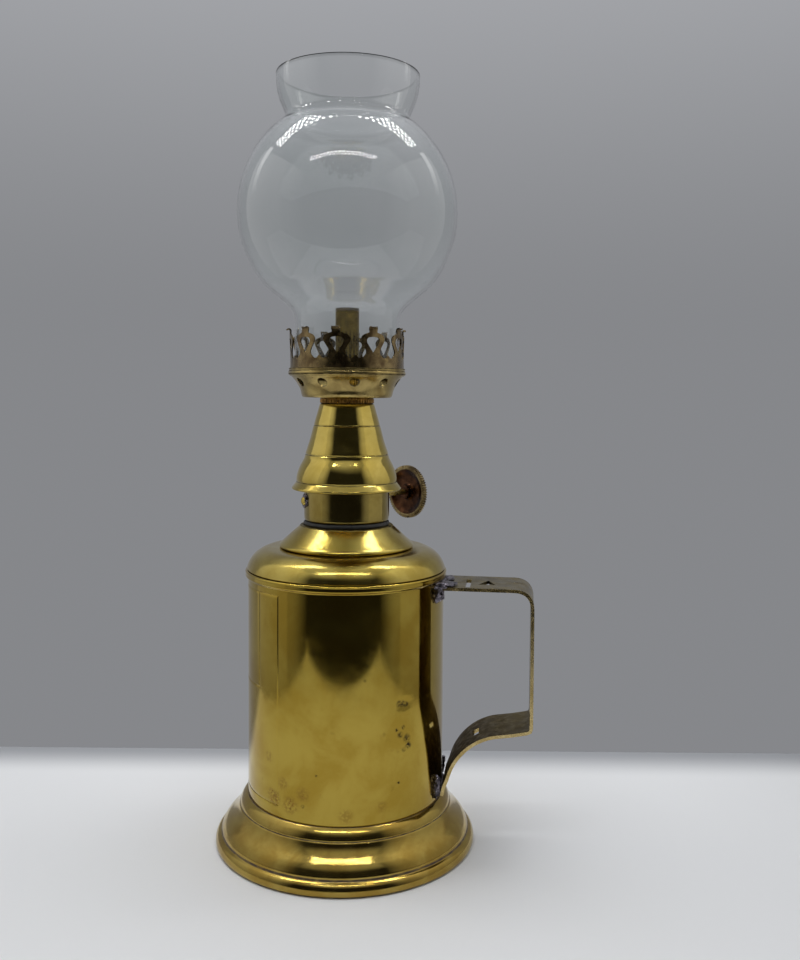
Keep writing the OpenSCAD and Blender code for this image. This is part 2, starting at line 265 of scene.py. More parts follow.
def flat_mesh(outline, holes, step):
    """Triangles that fill an outline with holes, with inner points so that it bends smoothly."""
    loops = [split(np.vstack([l, l[:1]]), step)[:-1] for l in [np.array(outline, float)]
             + [np.array(h, float) for h in holes]]
    lo, hi = loops[0].min(0), loops[0].max(0)
    gx, gy = np.meshgrid(np.arange(lo[0] + step / 2, hi[0], step), np.arange(lo[1] + step / 2, hi[1], step))
    grid = np.stack([gx.ravel(), gy.ravel()], 1)
    keep = inside(loops[0], grid)
    for l in loops[1:]:
        keep &= ~inside(l, grid)
    for l in loops:
        keep &= far_from(l, grid, step * 0.4)
    points, edges = [], []
    for l in loops:
        at = len(points)
        points += [Vector(p) for p in l]
        edges += [(at + i, at + (i + 1) % len(l)) for i in range(len(l))]
    points += [Vector(p) for p in grid[keep]]
    made, _, tris, _, _, _ = geometry.delaunay_2d_cdt(points, edges, [], 0, 1e-6)
    made = np.array([tuple(p) for p in made])
    tris = np.array([t for t in tris if len(t) == 3])
    mid = made[tris].mean(1)
    ok = inside(loops[0], mid)
    for l in loops[1:]:
        ok &= ~inside(l, mid)
    return made, tris[ok]


def thick(points, tris, place, weld=0):
    """Gives a flat mesh two faces and its edges: place maps (points, side) to space, side being 0 and 1."""
    a, b = place(points, 0.0), place(points, 1.0)
    if weld:
        tree = kdtree.KDTree(len(a))
        for i, q in enumerate(a):
            tree.insert(q, i)
        tree.balance()
        same = np.array([min(k for _, k, _ in tree.find_range(q, weld)) for q in a])
        tris = same[tris]
    n = len(a)
    count = {}
    for t in tris:
        for i in range(3):
            e = (int(t[i]), int(t[(i + 1) % 3]))
            count[tuple(sorted(e))] = count.get(tuple(sorted(e)), []) + [e]
    faces = [tuple(int(i) for i in t) for t in tris]
    faces += [tuple(int(i) + n for i in t[::-1]) for t in tris]
    for es in count.values():
        if len(es) == 1:
            i, j = es[0]
            faces.append((j, i, i + n, j + n))
    return np.vstack([a, b]), faces


def swept(points, radii, sides=16, closed=False, dent=None):
    """A tube of changing radius along points."""
    p = np.array(points, float)
    d = np.gradient(p, axis=0) if not closed else np.roll(p, -1, axis=0) - np.roll(p, 1, axis=0)
    d /= np.linalg.norm(d, axis=1)[:, None]
    up = np.array([0, 0, 1.0])
    verts = []
    for i, (c, t) in enumerate(zip(p, d)):
        s = np.cross(t, up if abs(t[2]) < 0.9 else np.array([1.0, 0, 0]))
        s /= np.linalg.norm(s)
        w = np.cross(s, t)
        for k in range(sides):
            a = 2 * np.pi * k / sides
            r = radii[i] * (1 + (dent(i, a) if dent else 0))
            verts.append(c + r * (math.cos(a) * s + math.sin(a) * w))
    n = len(p)
    faces = []
    for i in range(n if closed else n - 1):
        for k in range(sides):
            faces.append((i * sides + k, i * sides + (k + 1) % sides,
                          ((i + 1) % n) * sides + (k + 1) % sides, ((i + 1) % n) * sides + k))
    if not closed:
        faces += [tuple(range(sides))[::-1], tuple((n - 1) * sides + k for k in range(sides))]
    return np.array(verts), faces


def on_spindle(out):
    """The child's Z runs outwards along the spindle, its Y up."""
    x = Vector((-spindle_dir.y, spindle_dir.x, 0))
    m = Matrix((x, Vector((0, 0, 1)), spindle_dir)).transposed().to_4x4()
    m.translation = spindle_p + out * spindle_dir
    return m


# ---- Materials ----

class Paint:
    """A node material with one Principled shader."""

    def __init__(self, name, **values):
        self.mat = bpy.data.materials.new(name)
        self.mat.use_nodes = True
        self.tree = self.mat.node_tree
        self.shader = self.tree.nodes["Principled BSDF"]
        self.coord = self.add("ShaderNodeTexCoord").outputs["Object"]
        for k, v in values.items():
            self.shader.inputs[k.replace("_", " ")].default_value = v

    def add(self, kind, **props):
        node = self.tree.nodes.new(kind)
        for k, v in props.items():
            setattr(node, k, v)
        return node

    def link(self, a, b):
        self.tree.links.new(a, b)

    def mapped(self, scale, rotation=(0, 0, 0)):
        node = self.add("ShaderNodeMapping")
        node.inputs["Scale"].default_value = scale
        node.inputs["Rotation"].default_value = rotation
        self.link(self.coord, node.inputs["Vector"])
        return node.outputs[0]

    def noise(self, mm, detail=4, rough=0.55, stretch=(1, 1, 1), distort=0.0, seed=0.0):
        """Noise whose features are about mm wide."""
        s = 1000 / mm
        node = self.add("ShaderNodeTexNoise", noise_dimensions="4D")
        node.inputs["Scale"].default_value = 1.0
        node.inputs["W"].default_value = seed
        node.inputs["Detail"].default_value = detail
        node.inputs["Roughness"].default_value = rough
        node.inputs["Distortion"].default_value = distort
        self.link(self.mapped((s * stretch[0], s * stretch[1], s * stretch[2])), node.inputs["Vector"])
        return node.outputs["Fac"]

    def ramp(self, value, lo, hi, to_lo=0.0, to_hi=1.0, smooth=True):
        node = self.add("ShaderNodeMapRange", interpolation_type="SMOOTHSTEP" if smooth else "LINEAR")
        for k, v in (("From Min", lo), ("From Max", hi), ("To Min", to_lo), ("To Max", to_hi)):
            node.inputs[k].default_value = v
        self.link(value, node.inputs["Value"])
        return node.outputs["Result"]

    def mix(self, factor, a, b):
        node = self.add("ShaderNodeMix", data_type="RGBA")
        for socket, v in ((node.inputs[0], factor), (node.inputs[6], a), (node.inputs[7], b)):
            if hasattr(v, "is_linked"):
                self.link(v, socket)
            elif isinstance(v, (int, float)):
                socket.default_value = v
            else:
                socket.default_value = (*v, 1)
        return node.outputs[2]

    def math(self, op, a, b=None, c=None):
        node = self.add("ShaderNodeMath", operation=op)
        for socket, v in zip(node.inputs, (a, b, c)):
            if v is None:
                continue
            if hasattr(v, "is_linked"):
                self.link(v, socket)
            else:
                socket.default_value = v
        return node.outputs[0]

    def height(self):
        node = self.add("ShaderNodeSeparateXYZ")
        self.link(self.coord, node.inputs[0])
        return node.outputs

    def bump(self, value, mm, strength=1.0, after=None):
        node = self.add("ShaderNodeBump")
        node.inputs["Strength"].default_value = strength
        node.inputs["Distance"].default_value = mm * MM
        self.link(value, node.inputs["Height"])
        if after is not None:
            self.link(after, node.inputs["Normal"])
        return node.outputs[0]

    def set(self, socket, value):
        self.link(value, self.shader.inputs[socket])


def brass(name, light, deep, stain, rough=(0.12, 0.3), stained=(0.62, 0.75), cloud=12, lines=0.0,
          pits=0.002, seed=0.0,
          grime_and_shade_bands=(), grime_and_shade_colour=(0.06, 0.045, 0.02)):
    """Brass whose tone drifts in clouds, with stains, turning lines, and dark bands at given heights: grime in
    each narrow groove and joint, painted shade in a wide band.
    """
    p = Paint(name, Metallic=1.0)
    drift = p.noise(cloud, 5, 0.6, seed=seed, distort=0.6)
    colour = p.mix(p.ramp(drift, 0.35, 0.65), light, deep)
    speck = p.noise(1.3, 6, 0.7, seed=seed + 3)
    mask = p.math("MULTIPLY", p.ramp(p.noise(cloud * 0.7, 8, 0.72, seed=seed + 7), stained[0], stained[1]),
                  p.ramp(speck, 0.3, 0.62))
    colour = p.mix(mask, colour, stain)
    roughness = p.ramp(p.noise(cloud * 0.5, 6, 0.65, seed=seed + 11), 0.3, 0.7, rough[0], rough[1])
    roughness = p.math("ADD", roughness, p.math("MULTIPLY", mask, 0.25))
    # Dark bands at given heights, each (centre, half width): grime in narrow groove lines and joints, painted
    # shade where a band is wide, as on the strap's lower legs
    if grime_and_shade_bands:
        z = p.height()[2]
        grime_and_shade = None
        for centre, half in grime_and_shade_bands:
            band = p.math("SUBTRACT", z, centre * MM)
            band = p.ramp(p.math("ABSOLUTE", band), half * 0.35 * MM, half * MM, 1.0, 0.0)
            grime_and_shade = band if grime_and_shade is None else p.math("MAXIMUM", grime_and_shade, band)
        grime_and_shade = p.math("MULTIPLY", grime_and_shade, p.ramp(p.noise(2.2, 5, 0.6, seed=seed + 5), 0.25, 0.6, 0.25, 1.0))
        colour = p.mix(grime_and_shade, colour, grime_and_shade_colour)
        roughness = p.math("ADD", roughness, p.math("MULTIPLY", grime_and_shade, 0.4))
    p.set("Base Color", colour)
    p.set("Roughness", roughness)
    normal = p.bump(p.noise(0.35, 3, 0.6, seed=seed + 2), pits, 0.6)
    if lines:
        normal = p.bump(p.noise(0.25, 3, 0.7, stretch=(0.02, 0.02, 1), seed=seed + 9), lines, 0.7, normal)
    p.set("Normal", normal)
    return p


brass_body = brass("brass_body", (0.46, 0.335, 0.062), (0.375, 0.25, 0.036), (0.16, 0.095, 0.022),
                   (0.06, 0.13), (0.60, 0.74), 14, pits=0.004,
                   lines=0.0015, seed=1.0)
brass_spun = brass("brass_spun", (0.50, 0.39, 0.10), (0.40, 0.29, 0.058), (0.15, 0.10, 0.028),
                   (0.13, 0.24), (0.62, 0.76), 11,
                   pits=0.003, lines=0.004, seed=4.0, grime_and_shade_bands=((seam_z + 0.1, 0.22), (neck_z - 0.1, 0.3)))
brass_foot = brass("brass_foot", (0.46, 0.335, 0.085), (0.36, 0.235, 0.048), (0.13, 0.08, 0.025),
                   (0.09, 0.2), (0.60, 0.74), 10, pits=0.003,
                   lines=0.004, seed=8.0, grime_and_shade_bands=((4.3, 0.42), (12.55, 0.22), (body_lo, 0.25)),
                   grime_and_shade_colour=(0.11, 0.085, 0.07))
brass_cone = brass("brass_cone", (0.56, 0.43, 0.11), (0.46, 0.34, 0.072), (0.20, 0.13, 0.04), (0.06, 0.14),
                   (0.66, 0.80), 9, pits=0.002,
                   lines=0.003, seed=12.0, grime_and_shade_bands=((cone_z + 2.45, 0.18), (cone_z + 10.6, 0.14),
                                                    (cone_z + 19.3, 0.14)))
brass_collar = brass("brass_collar", (0.36, 0.275, 0.08), (0.27, 0.195, 0.048), (0.10, 0.065, 0.022),
                     (0.08, 0.17), (0.60, 0.74), 8, pits=0.002,
                     lines=0.004, seed=16.0, grime_and_shade_bands=((collar_z + 0.1, 0.3),))
brass_dish = brass("brass_dish", (0.47, 0.36, 0.135), (0.28, 0.20, 0.07), (0.13, 0.08, 0.035),
                   (0.14, 0.28), (0.56, 0.72), 6, pits=0.003,
                   seed=20.0, grime_and_shade_bands=((rim_z - 0.15, 0.25), (rim_z - 0.82, 0.2), (rim_z - 1.75, 0.3)))
brass_tube = brass("brass_tube", (0.33, 0.235, 0.06), (0.15, 0.10, 0.028), (0.06, 0.038, 0.015),
                   (0.08, 0.2), (0.54, 0.70), 5, pits=0.004,
                   seed=24.0, grime_and_shade_bands=((tube_top, 1.6),))
brass_works = brass("brass_works", (0.50, 0.38, 0.12), (0.34, 0.24, 0.07), (0.14, 0.09, 0.03), (0.22, 0.4),
                    (0.56, 0.7), 4, pits=0.004,
                    seed=28.0)
brass_under = brass("brass_under", (0.40, 0.28, 0.10), (0.26, 0.175, 0.06), (0.09, 0.055, 0.025),
                    (0.28, 0.5), (0.50, 0.66), 9, pits=0.006,
                    seed=32.0)
# The strap's brass is darkened partly as painted shade for the dark its legs reflect, and the wide band round z
# 27 mm (z 9 to 45) paints more shade over the lower legs
brass_strap = brass("brass_strap", (0.25, 0.195, 0.075), (0.13, 0.10, 0.038), (0.045, 0.03, 0.016),
                    (0.24, 0.4), (0.54, 0.68), 7, pits=0.004,
                    seed=36.0, grime_and_shade_bands=((27.0, 18.0),), grime_and_shade_colour=(0.075, 0.055, 0.028))
brass_edge = brass("brass_edge", (0.60, 0.47, 0.22), (0.42, 0.31, 0.12), (0.12, 0.08, 0.035), (0.2, 0.34),
                   (0.6, 0.74), 5, pits=0.003,
                   seed=40.0)
brass_crown = brass("brass_crown", (0.24, 0.175, 0.08), (0.095, 0.062, 0.03), (0.34, 0.25, 0.10),
                    (0.20, 0.38), (0.56, 0.66), 4, pits=0.004,
                    seed=44.0)
# The knob's near-black brown is tarnish and partly painted shade on the face turned to the burner
brass_knob = brass("brass_knob", (0.11, 0.048, 0.022), (0.028, 0.012, 0.007), (0.26, 0.11, 0.05),
                   (0.20, 0.42), (0.58, 0.68), 5, pits=0.006,
                   seed=48.0)
brass_mill = brass("brass_mill", (0.34, 0.26, 0.12), (0.12, 0.085, 0.04), (0.05, 0.032, 0.018),
                   (0.24, 0.4), (0.50, 0.62), 3, pits=0.003,
                   seed=52.0)
brass_ring = brass("brass_ring", (0.38, 0.205, 0.045), (0.16, 0.085, 0.02), (0.07, 0.036, 0.014),
                   (0.2, 0.36), (0.50, 0.64), 2.5, pits=0.003,
                   seed=56.0, grime_and_shade_bands=((cone_top + 0.05, 0.35),))


def worn(paint, marks, patches):
    """Adds dark marks and brown patches to a brass wall, each (angle in degrees, height, half size, strength)."""
    shader = paint.shader
    colour = shader.inputs["Base Color"].links[0].from_socket
    rough = shader.inputs["Roughness"].links[0].from_socket
    for group, tone, grain in ((patches, (0.25, 0.14, 0.03), 0.9), (marks, (0.030, 0.024, 0.016), 0.55)):
        mask = None
        for angle, z, size, strength in group:
            a = math.radians(angle)
            node = paint.add("ShaderNodeVectorMath", operation="DISTANCE")
            paint.link(paint.coord, node.inputs[0])
            node.inputs[1].default_value = (body_r * math.cos(a) * MM, body_r * math.sin(a) * MM, z * MM)
            one = paint.ramp(node.outputs["Value"], size * 0.25 * MM, size * MM, strength, 0.0)
            mask = one if mask is None else paint.math("MAXIMUM", mask, one)
        mask = paint.math("MULTIPLY", mask, paint.ramp(paint.noise(grain, 5, 0.7, seed=90.0), 0.40, 0.56))
        colour = paint.mix(mask, colour, tone)
        rough = paint.math("ADD", rough, paint.math("MULTIPLY", mask, 0.3))
    paint.set("Base Color", colour)
    paint.set("Roughness", rough)


worn(brass_body,
     ((-47.6, 49.9, 1.5, 1.0), (-45.2, 49.6, 1.3, 1.0), (-49.8, 50.1, 1.3, 1.0), (-47.0, 43.0, 0.9, 0.9),
      (-49.0, 41.0, 1.3, 0.9),
      (-44.5, 39.6, 1.7, 0.9), (-43.4, 37.4, 1.5, 1.0), (-46.5, 36.4, 1.0, 0.8), (-51.2, 42.6, 0.8, 0.9),
      (-50.0, 27.0, 0.7, 1.0), (-96.0, 30.5, 0.6, 0.9),
      (-70.0, 58.0, 0.5, 0.8), (-104.0, 21.0, 0.8, 0.7), (60.0, 40.0, 1.6, 0.8), (85.0, 66.0, 0.9, 0.8),
      (130.0, 30.0, 1.2, 0.8)),
     ((-112.0, 20.6, 3.6, 0.8), (-124.0, 21.5, 3.8, 0.9), (-104.0, 24.5, 3.0, 0.6),
      (-117.0, 26.5, 2.6, 0.6), (-80.0, 19.0, 3.0, 0.5), (-60.0, 21.0, 2.4, 0.5),
      (-128.0, 33.0, 2.4, 0.5), (40.0, 24.0, 6.0, 0.6), (100.0, 50.0, 5.0, 0.5), (150.0, 26.0, 6.0, 0.6)))


def solder_paint():
    p = Paint("solder", Metallic=1.0)
    tone = p.noise(1.6, 6, 0.65, seed=60.0)
    colour = p.mix(p.ramp(tone, 0.4, 0.66), (0.055, 0.05, 0.06), (0.34, 0.31, 0.36))
    colour = p.mix(p.ramp(p.noise(2.4, 4, 0.6, seed=61.0), 0.58, 0.7), colour, (0.24, 0.19, 0.12))
    p.set("Base Color", colour)
    p.set("Roughness", p.ramp(p.noise(0.9, 4, 0.6, seed=62.0), 0.3, 0.7, 0.2, 0.55))
    p.set("Normal", p.bump(p.noise(0.8, 5, 0.6, seed=63.0), 0.12, 0.7))
    return p


def rubber_paint():
    p = Paint("gasket_black", Metallic=0.0)
    p.set("Base Color", p.mix(p.ramp(p.noise(1.5, 5, 0.6, seed=64.0), 0.35, 0.7), (0.010, 0.010, 0.009),
                              (0.035, 0.032, 0.026)))
    p.set("Roughness", p.ramp(p.noise(1.0, 4, 0.6, seed=65.0), 0.3, 0.7, 0.42, 0.7))
    p.set("Normal", p.bump(p.noise(0.4, 4, 0.6, seed=66.0), 0.03, 0.6))
    return p


def cotton_paint(name, light, shade, char=None):
    p = Paint(name, Metallic=0.0, Sheen_Weight=0.35, Sheen_Roughness=0.5)
    colour = p.mix(p.ramp(p.noise(0.8, 6, 0.7, seed=68.0), 0.3, 0.7), shade, light)
    if char:
        z = p.height()[2]
        burnt = p.math("MULTIPLY", p.ramp(z, (char - 3) * MM, char * MM),
                       p.ramp(p.noise(1.2, 4, 0.6, seed=69.0), 0.2, 0.5, 0.6, 1.0))
        colour = p.mix(burnt, colour, (0.03, 0.026, 0.022))
    p.set("Base Color", colour)
    p.set("Roughness", p.ramp(p.noise(0.6, 3, 0.6, seed=70.0), 0.2, 0.8, 0.75, 0.95))
    p.set("Normal", p.bump(p.noise(0.22, 4, 0.7, seed=71.0), 0.08, 0.8))
    return p


def glass_paint():
    p = Paint("clear_glass", Metallic=0.0, Transmission_Weight=1.0, IOR=1.45)
    p.set("Base Color", p.mix(p.ramp(p.noise(30, 3, 0.5, seed=72.0), 0.3, 0.7), (0.925, 0.952, 0.945),
                              (0.965, 0.978, 0.972)))
    p.set("Roughness", p.ramp(p.noise(8, 6, 0.7, seed=73.0), 0.62, 0.8, 0.0, 0.05))
    normal = p.bump(p.noise(9, 2, 0.5, stretch=(1, 1, 0.5), seed=74.0), 0.05, 0.35)
    p.set("Normal", p.bump(p.ramp(p.noise(1.6, 1, 0.4, seed=75.0), 0.74, 0.78), 0.04, 0.5, normal))
    return p


solder = solder_paint().mat
rubber = rubber_paint().mat
cotton = cotton_paint("wick_cotton", (0.80, 0.76, 0.66), (0.55, 0.50, 0.40), tube_top - 0.9).mat
wool = cotton_paint("wadding_cotton", (0.72, 0.68, 0.58), (0.45, 0.40, 0.31)).mat
glass = glass_paint().mat

# ---- Foot ----

foot_at = (foot_r, 0)
foot_wall = np.vstack([
    rounded([(-2.6, 0.15), (-2.3, 0.0, 0.15), (-1.2, 0.0, 0.4), (-0.2, 0.35, 0.6), (0, 1.2, 0.4),
             (-0.12, 2.1, 0.5), (-0.45, 2.95, 0.5), (-1.0, 3.6, 0.4), (-1.75, 3.95, 0.3),
             (-2.0, 4.35, 0.25)], 5, at=foot_at),
    flowing([(-2.0, 4.75), (-2.1, 5.2), (-2.45, 5.9), (-2.95, 6.75), (-3.65, 7.65), (-4.4, 8.4),
             (-5.2, 9.15), (-5.85, 9.85), (-6.45, 10.6), (-6.95, 11.35), (-7.35, 12.1)], 0.35, at=foot_at),
    rounded([(-7.4, 12.2), (-7.62, 12.42, 0.12), (-7.72, 12.6, 0.12), (-7.62, 12.85, 0.2),
             (-7.95, 13.7, 0.6),
             (-8.6, 14.75, 0.7), (-9.3, 15.4, 0.5), (-9.9, body_lo - 0.1, 0.3),
             (-10.3, body_lo - 0.02, 0.1),
             (-14, body_lo)], 5, at=foot_at)])
foot_inner = beside(foot_wall[foot_wall[:, 1] > 3.2], 0.6)[::-1]
lathe("foot", brass_foot.mat, "lamp", "foot_brass", ("foot_shell",),
      np.vstack([foot_wall, foot_inner, [[foot_r - 2.6, 2.9]]]), 288,
      push=lambda a, z, r: 0.05 * ripple(a, z, 9, 1) * np.clip((z - 4.2) / 2, 0, 1))

plate = np.vstack([
    rounded([(0.0, 1.72), (11.2, 1.68, 0.6), (12.2, 2.86, 0.5), (13.8, 2.86, 0.5), (14.8, 1.66, 0.6),
             (30, 1.62, 1),
             (foot_r - 2.75, 1.6)], 5),
    rounded([(foot_r - 2.75, 2.3), (14.7, 2.34, 0.6), (13.9, 3.4, 0.5), (12.1, 3.4, 0.5),
             (11.2, 2.34, 0.6), (0.0, 2.3)], 5)])
lathe("foot_underside", brass_under.mat, "lamp", "brass", ("foot_plate",), plate, 160, closed=False)

# ---- Reservoir ----

frame_a, inner_a = math.radians(59.5), math.radians(42.7)
frame_lo, frame_mid, frame_hi = body_lo + 3.6, body_lo + 36.6, seam_z - 4.3
cut_half = 0.16


def grooved(a, z, r):
    """Two plain engraved frames on the side away from the handle."""
    b = np.abs(np.mod(a, 2 * np.pi) - np.pi)
    def line(d):
        return np.clip(1 - np.abs(d) / cut_half, 0, 1)
    outer = np.maximum(line((b - frame_a) * body_r) * ((z > frame_lo - 0.1) & (z < frame_hi + 0.1)),
                       np.maximum(line(z - frame_lo), line(z - frame_hi)) * (b < frame_a + 0.002))
    second = np.maximum(line((b - inner_a) * body_r) * ((z > frame_mid - 0.1) & (z < frame_hi + 0.1)),
                        line(z - frame_mid) * (b < inner_a + 0.002))
    return -0.14 * np.maximum(outer, second) * (r > body_r - 0.3)


cuts = []
for base in (frame_a, inner_a):
    for side in (-1, 1):
        cuts += [math.pi + side * base + d * cut_half / body_r for d in (-1.05, -0.5, 0, 0.5, 1.05)]
angles = np.sort(np.concatenate([np.linspace(0, 2 * np.pi, 240, endpoint=False), cuts]))
rows = np.sort(np.concatenate([np.linspace(body_lo + 0.1, seam_z - 2.9, 60),
                               [h + d * cut_half for h in (frame_lo, frame_mid, frame_hi)
                                for d in (-1.05, -0.5, 0, 0.5, 1.05)]]))
taper = [[body_r + 0.20 - 0.32 * (z - body_lo) / (seam_z - body_lo), z] for z in rows]
band = rounded([(taper[-1][0], rows[-1]), (body_r - 0.1, seam_z - 2.35, 0.25),
                (band_r - 0.35, seam_z - 2.15, 0.3), (band_r - 0.05, seam_z - 1.75, 0.35),
                (band_r - 0.12, seam_z - 0.75, 0.4), (band_r - 0.05, seam_z - 0.45, 0.3),
                (band_r - 0.35, seam_z - 0.08, 0.25), (body_r - 0.1, seam_z)], 4)
tube_profile = np.vstack([taper, band[1:], [[body_r - 0.6, seam_z]], [[body_r - 0.6, body_lo]],
                          [[body_r + 0.15, body_lo]]])
lathe("reservoir_wall", brass_body.mat, "lamp", "brass", ("reservoir_tube",), tube_profile, angles=angles,
      push=lambda a, z, r: (grooved(a, z, r) + 0.035 * ripple(a, z, 26, 2) * (z < seam_z - 2.5) - 0.16
                            * np.exp(-((np.mod(a, 2 * np.pi) - 5.46) * body_r / 2.2) ** 2
                                     - ((z - 49.8) / 1.1) ** 2)) * (r > body_r - 0.4), angle=40)

seam_at = (body_r, seam_z)
shoulder = np.vstack([rounded([(-0.65, -3.1), (-0.65, 0.05, 0.02), (0.05, 0.1, 0.1)], 3, at=seam_at),
                      flowing([(0.22, 0.35), (-0.02, 1.1), (-0.45, 2.1),
                               (-1.15, 3.25), (-2.1, 4.3), (-3.2, 5.1),
                               (-4.5, 5.75), (-6.0, 6.2), (-8.4, 6.4)], 0.5, at=seam_at),
                      [[14, shoulder_z], [span("neck_socket")[1].y + 0.2, shoulder_z]]])
lathe("reservoir_shoulder", brass_spun.mat, "lamp", "brass", ("shoulder_dome",), strip(shoulder, 0.6), 256,
      push=uneven(0.05, 6, 3, above=seam_z + 0.6))

lip_at = (span("neck_dome")[1].y, 0)
dome = np.vstack([rounded([(-2.8, shoulder_z + 0.05), (-1.0, shoulder_z + 0.05, 0.3),
                           (-0.1, shoulder_z + 0.3, 0.4),
                           (0, shoulder_z + 0.8, 0.3), (-0.35, shoulder_z + 1.3, 0.3),
                           (-0.85, shoulder_z + 1.65, 0.2)], 4, at=lip_at),
                  flowing([(-1.1, neck_z - 4.9), (-2.4, neck_z - 3.75), (-3.8, neck_z - 2.5),
                           (-5.1, neck_z - 1.35),
                           (-6.15, neck_z - 0.4)], 0.5, at=lip_at),
                  rounded([(-6.25, neck_z - 0.3), (-6.5, neck_z - 0.02, 0.2), (-7.2, neck_z, 0.2),
                           (-9.3, neck_z)], 4, at=lip_at)])
lathe("neck_ring", brass_spun.mat, "lamp", "brass", ("neck_dome",), strip(dome, 0.6), 224,
      push=uneven(0.04, 4, 4, above=shoulder_z + 1.5))


def screw(r_root, depth, z0, z1, pitch, outside=True, sides=96, step=0.12):
    """Rows of a right-handed thread between two heights, its ends faded out."""
    rows_z = np.linspace(z0, z1, int((z1 - z0) / step) + 1)
    a = np.linspace(0, 2 * np.pi, sides, endpoint=False)
    zz, aa = np.meshgrid(rows_z, a, indexing="ij")
    wave = np.abs(np.mod(zz / pitch - aa / (2 * np.pi), 1) - 0.5) * 2
    wave = np.clip((wave - 0.2) / 0.6, 0, 1)
    fade = np.clip(np.minimum(zz - z0, z1 - zz) / 0.6, 0, 1)
    r = r_root + (1 if outside else -1) * depth * wave * fade
    return aa, zz, r


def threaded(before, aa, zz, r, after):
    """A closed turned mesh with a threaded stretch in the middle of its outline."""
    a = aa[0]
    rings = [np.stack([np.full(len(a), q[0]) * np.cos(a), np.full(len(a), q[0]) * np.sin(a),
                       np.full(len(a), q[1])], 1) for q in before]
    rings += [np.stack([r[i] * np.cos(a), r[i] * np.sin(a), zz[i]], 1) for i in range(len(zz))]
    rings += [np.stack([q[0] * np.cos(a), q[0] * np.sin(a), np.full(len(a), q[1])], 1) for q in after]
    n, m = len(rings), len(a)
    faces = [(i * m + j, i * m + (j + 1) % m, ((i + 1) % n) * m + (j + 1) % m, ((i + 1) % n) * m + j)
             for i in range(n) for j in range(m)]
    return np.vstack(rings), faces


plug_r, plug_lo = 9.45, low("burner_plug")
socket_r, socket_lo = span("neck_socket")[1].y, low("neck_socket")
aa, zz, r = screw(plug_r - 0.42, 0.40, plug_lo + 0.3, collar_z - 0.4, 1.5)
bore = tube_r + 0.05
v, f = threaded([(bore, plug_lo), (plug_r - 0.7, plug_lo)], aa, zz, r,
                [(plug_r - 0.45, collar_z - 0.35), (plug_r - 0.02, collar_z - 0.1),
                 (plug_r, collar_z + 0.66),
                 (11.2, collar_z + 0.68), (11.3, collar_z + 1.3), (plug_r - 1.1, collar_z + 1.3),
                 (plug_r - 1.1, plug_lo + 0.8), (bore, plug_lo + 0.8)])
piece("burner_screw", v, f, brass_works.mat, "burner", "brass", ("burner_plug",), angle=50)
aa, zz, r = screw(plug_r + 0.48, 0.40, socket_lo + 0.3, neck_z - 0.3, 1.5, outside=False)
v, f = threaded([(plug_r + 0.6, socket_lo)], aa, zz, r,
                [(plug_r + 0.6, neck_z - 0.02), (socket_r, neck_z - 0.02), (socket_r, socket_lo)])
piece("neck_thread", v, f, brass_works.mat, "lamp", "brass", ("neck_socket",), angle=50)

lathe("reservoir_bottom", brass_under.mat, "lamp", "brass", ("reservoir_floor",),
      np.array([[0.0, body_lo + 0.5], [body_r - 0.7, body_lo + 0.5], [body_r - 0.7, body_lo + 3.95],
                [body_r - 1.3, body_lo + 3.95], [body_r - 1.4, body_lo + 1.3],
                [body_r - 2.2, body_lo + 1.15], [0.0, body_lo + 1.15]]), 128, closed=False)

w_lo, w_hi = span("wadding")
core = rounded([(4.3, 36.2), (4.3, w_hi.z - 0.8, 0.6), (5.5, w_hi.z - 0.1, 0.8),
                (w_hi.y - 2.5, w_hi.z - 0.1, 1.5), (w_hi.y - 0.3, w_hi.z - 2.5, 2.0),
                (w_hi.y - 0.2, w_lo.z + 2.5, 2.0), (w_hi.y - 2.5, w_lo.z + 0.1, 1.5), (0.0, w_lo.z + 0.1)],
               6)
wadding = lathe("cotton_wadding", wool, "lamp", "wadding", ("wadding",),
                split(np.vstack([core, [[0.0, 36.2]], [[4.3, 36.2]]]), 2.0), 120,
                push=uneven(0.18, 3, 5, beyond=6))

# ---- Handle ----

strap_t = 1.0
inner_x = strap_hi.x - 1.25
grip = np.vstack([
    rounded([(body_r - 2.8, 80.3), (45, 80.28), (inner_x - 0.15, 80.25, 4.9), (inner_x + 0.02, 62),
             (inner_x + 0.28, 39.15, 0.7), (inner_x - 5, 38.1)], 8),
    flowing([(body_r + 19.6 + 18.3 * math.cos(math.radians(t)), 18.6 + 19.1 * math.sin(math.radians(t)))
             for t in range(94, 168, 9)], 1.0),
    [[body_r + 0.9, 20.8], [body_r + 0.35, 18.15]]])
grip = split(grip, 1.0)
grip_s = along(grip)
grip_n = np.gradient(grip, axis=0)
grip_n /= np.linalg.norm(grip_n, axis=1)[:, None]
grip_n = np.stack([-grip_n[:, 1], grip_n[:, 0]], 1)


def at_strap(points, side):
    s = points[:, 0]
    x, z = np.interp(s, grip_s, grip[:, 0]), np.interp(s, grip_s, grip[:, 1])
    nx, nz = np.interp(s, grip_s, grip_n[:, 0]), np.interp(s, grip_s, grip_n[:, 1])
    y = points[:, 1]
    bow = 0.10 * (1 - (y / 9.5) ** 2) + 0.05 * np.sin(s / 9)
    t = side * strap_t - bow * 0.6
    return np.stack([x + nx * t, y, z + nz * t], 1)


strap_w = strap_hi.y - 0.05
low_run = (grip[:, 1] < 39) & (grip[:, 0] < 50)
low_leg = [float(np.interp(-x, -grip[low_run, 0], grip_s[low_run])) for x in (41.2, 39.2)]


def root(y):
    """How far along the strap it leaves the round wall."""
    return math.sqrt(body_r ** 2 - y * y) - grip[0, 0]


def box(s0, s1, y0, y1):
    return [(s0, y0), (s1, y0), (s1, y1), (s0, y1)]


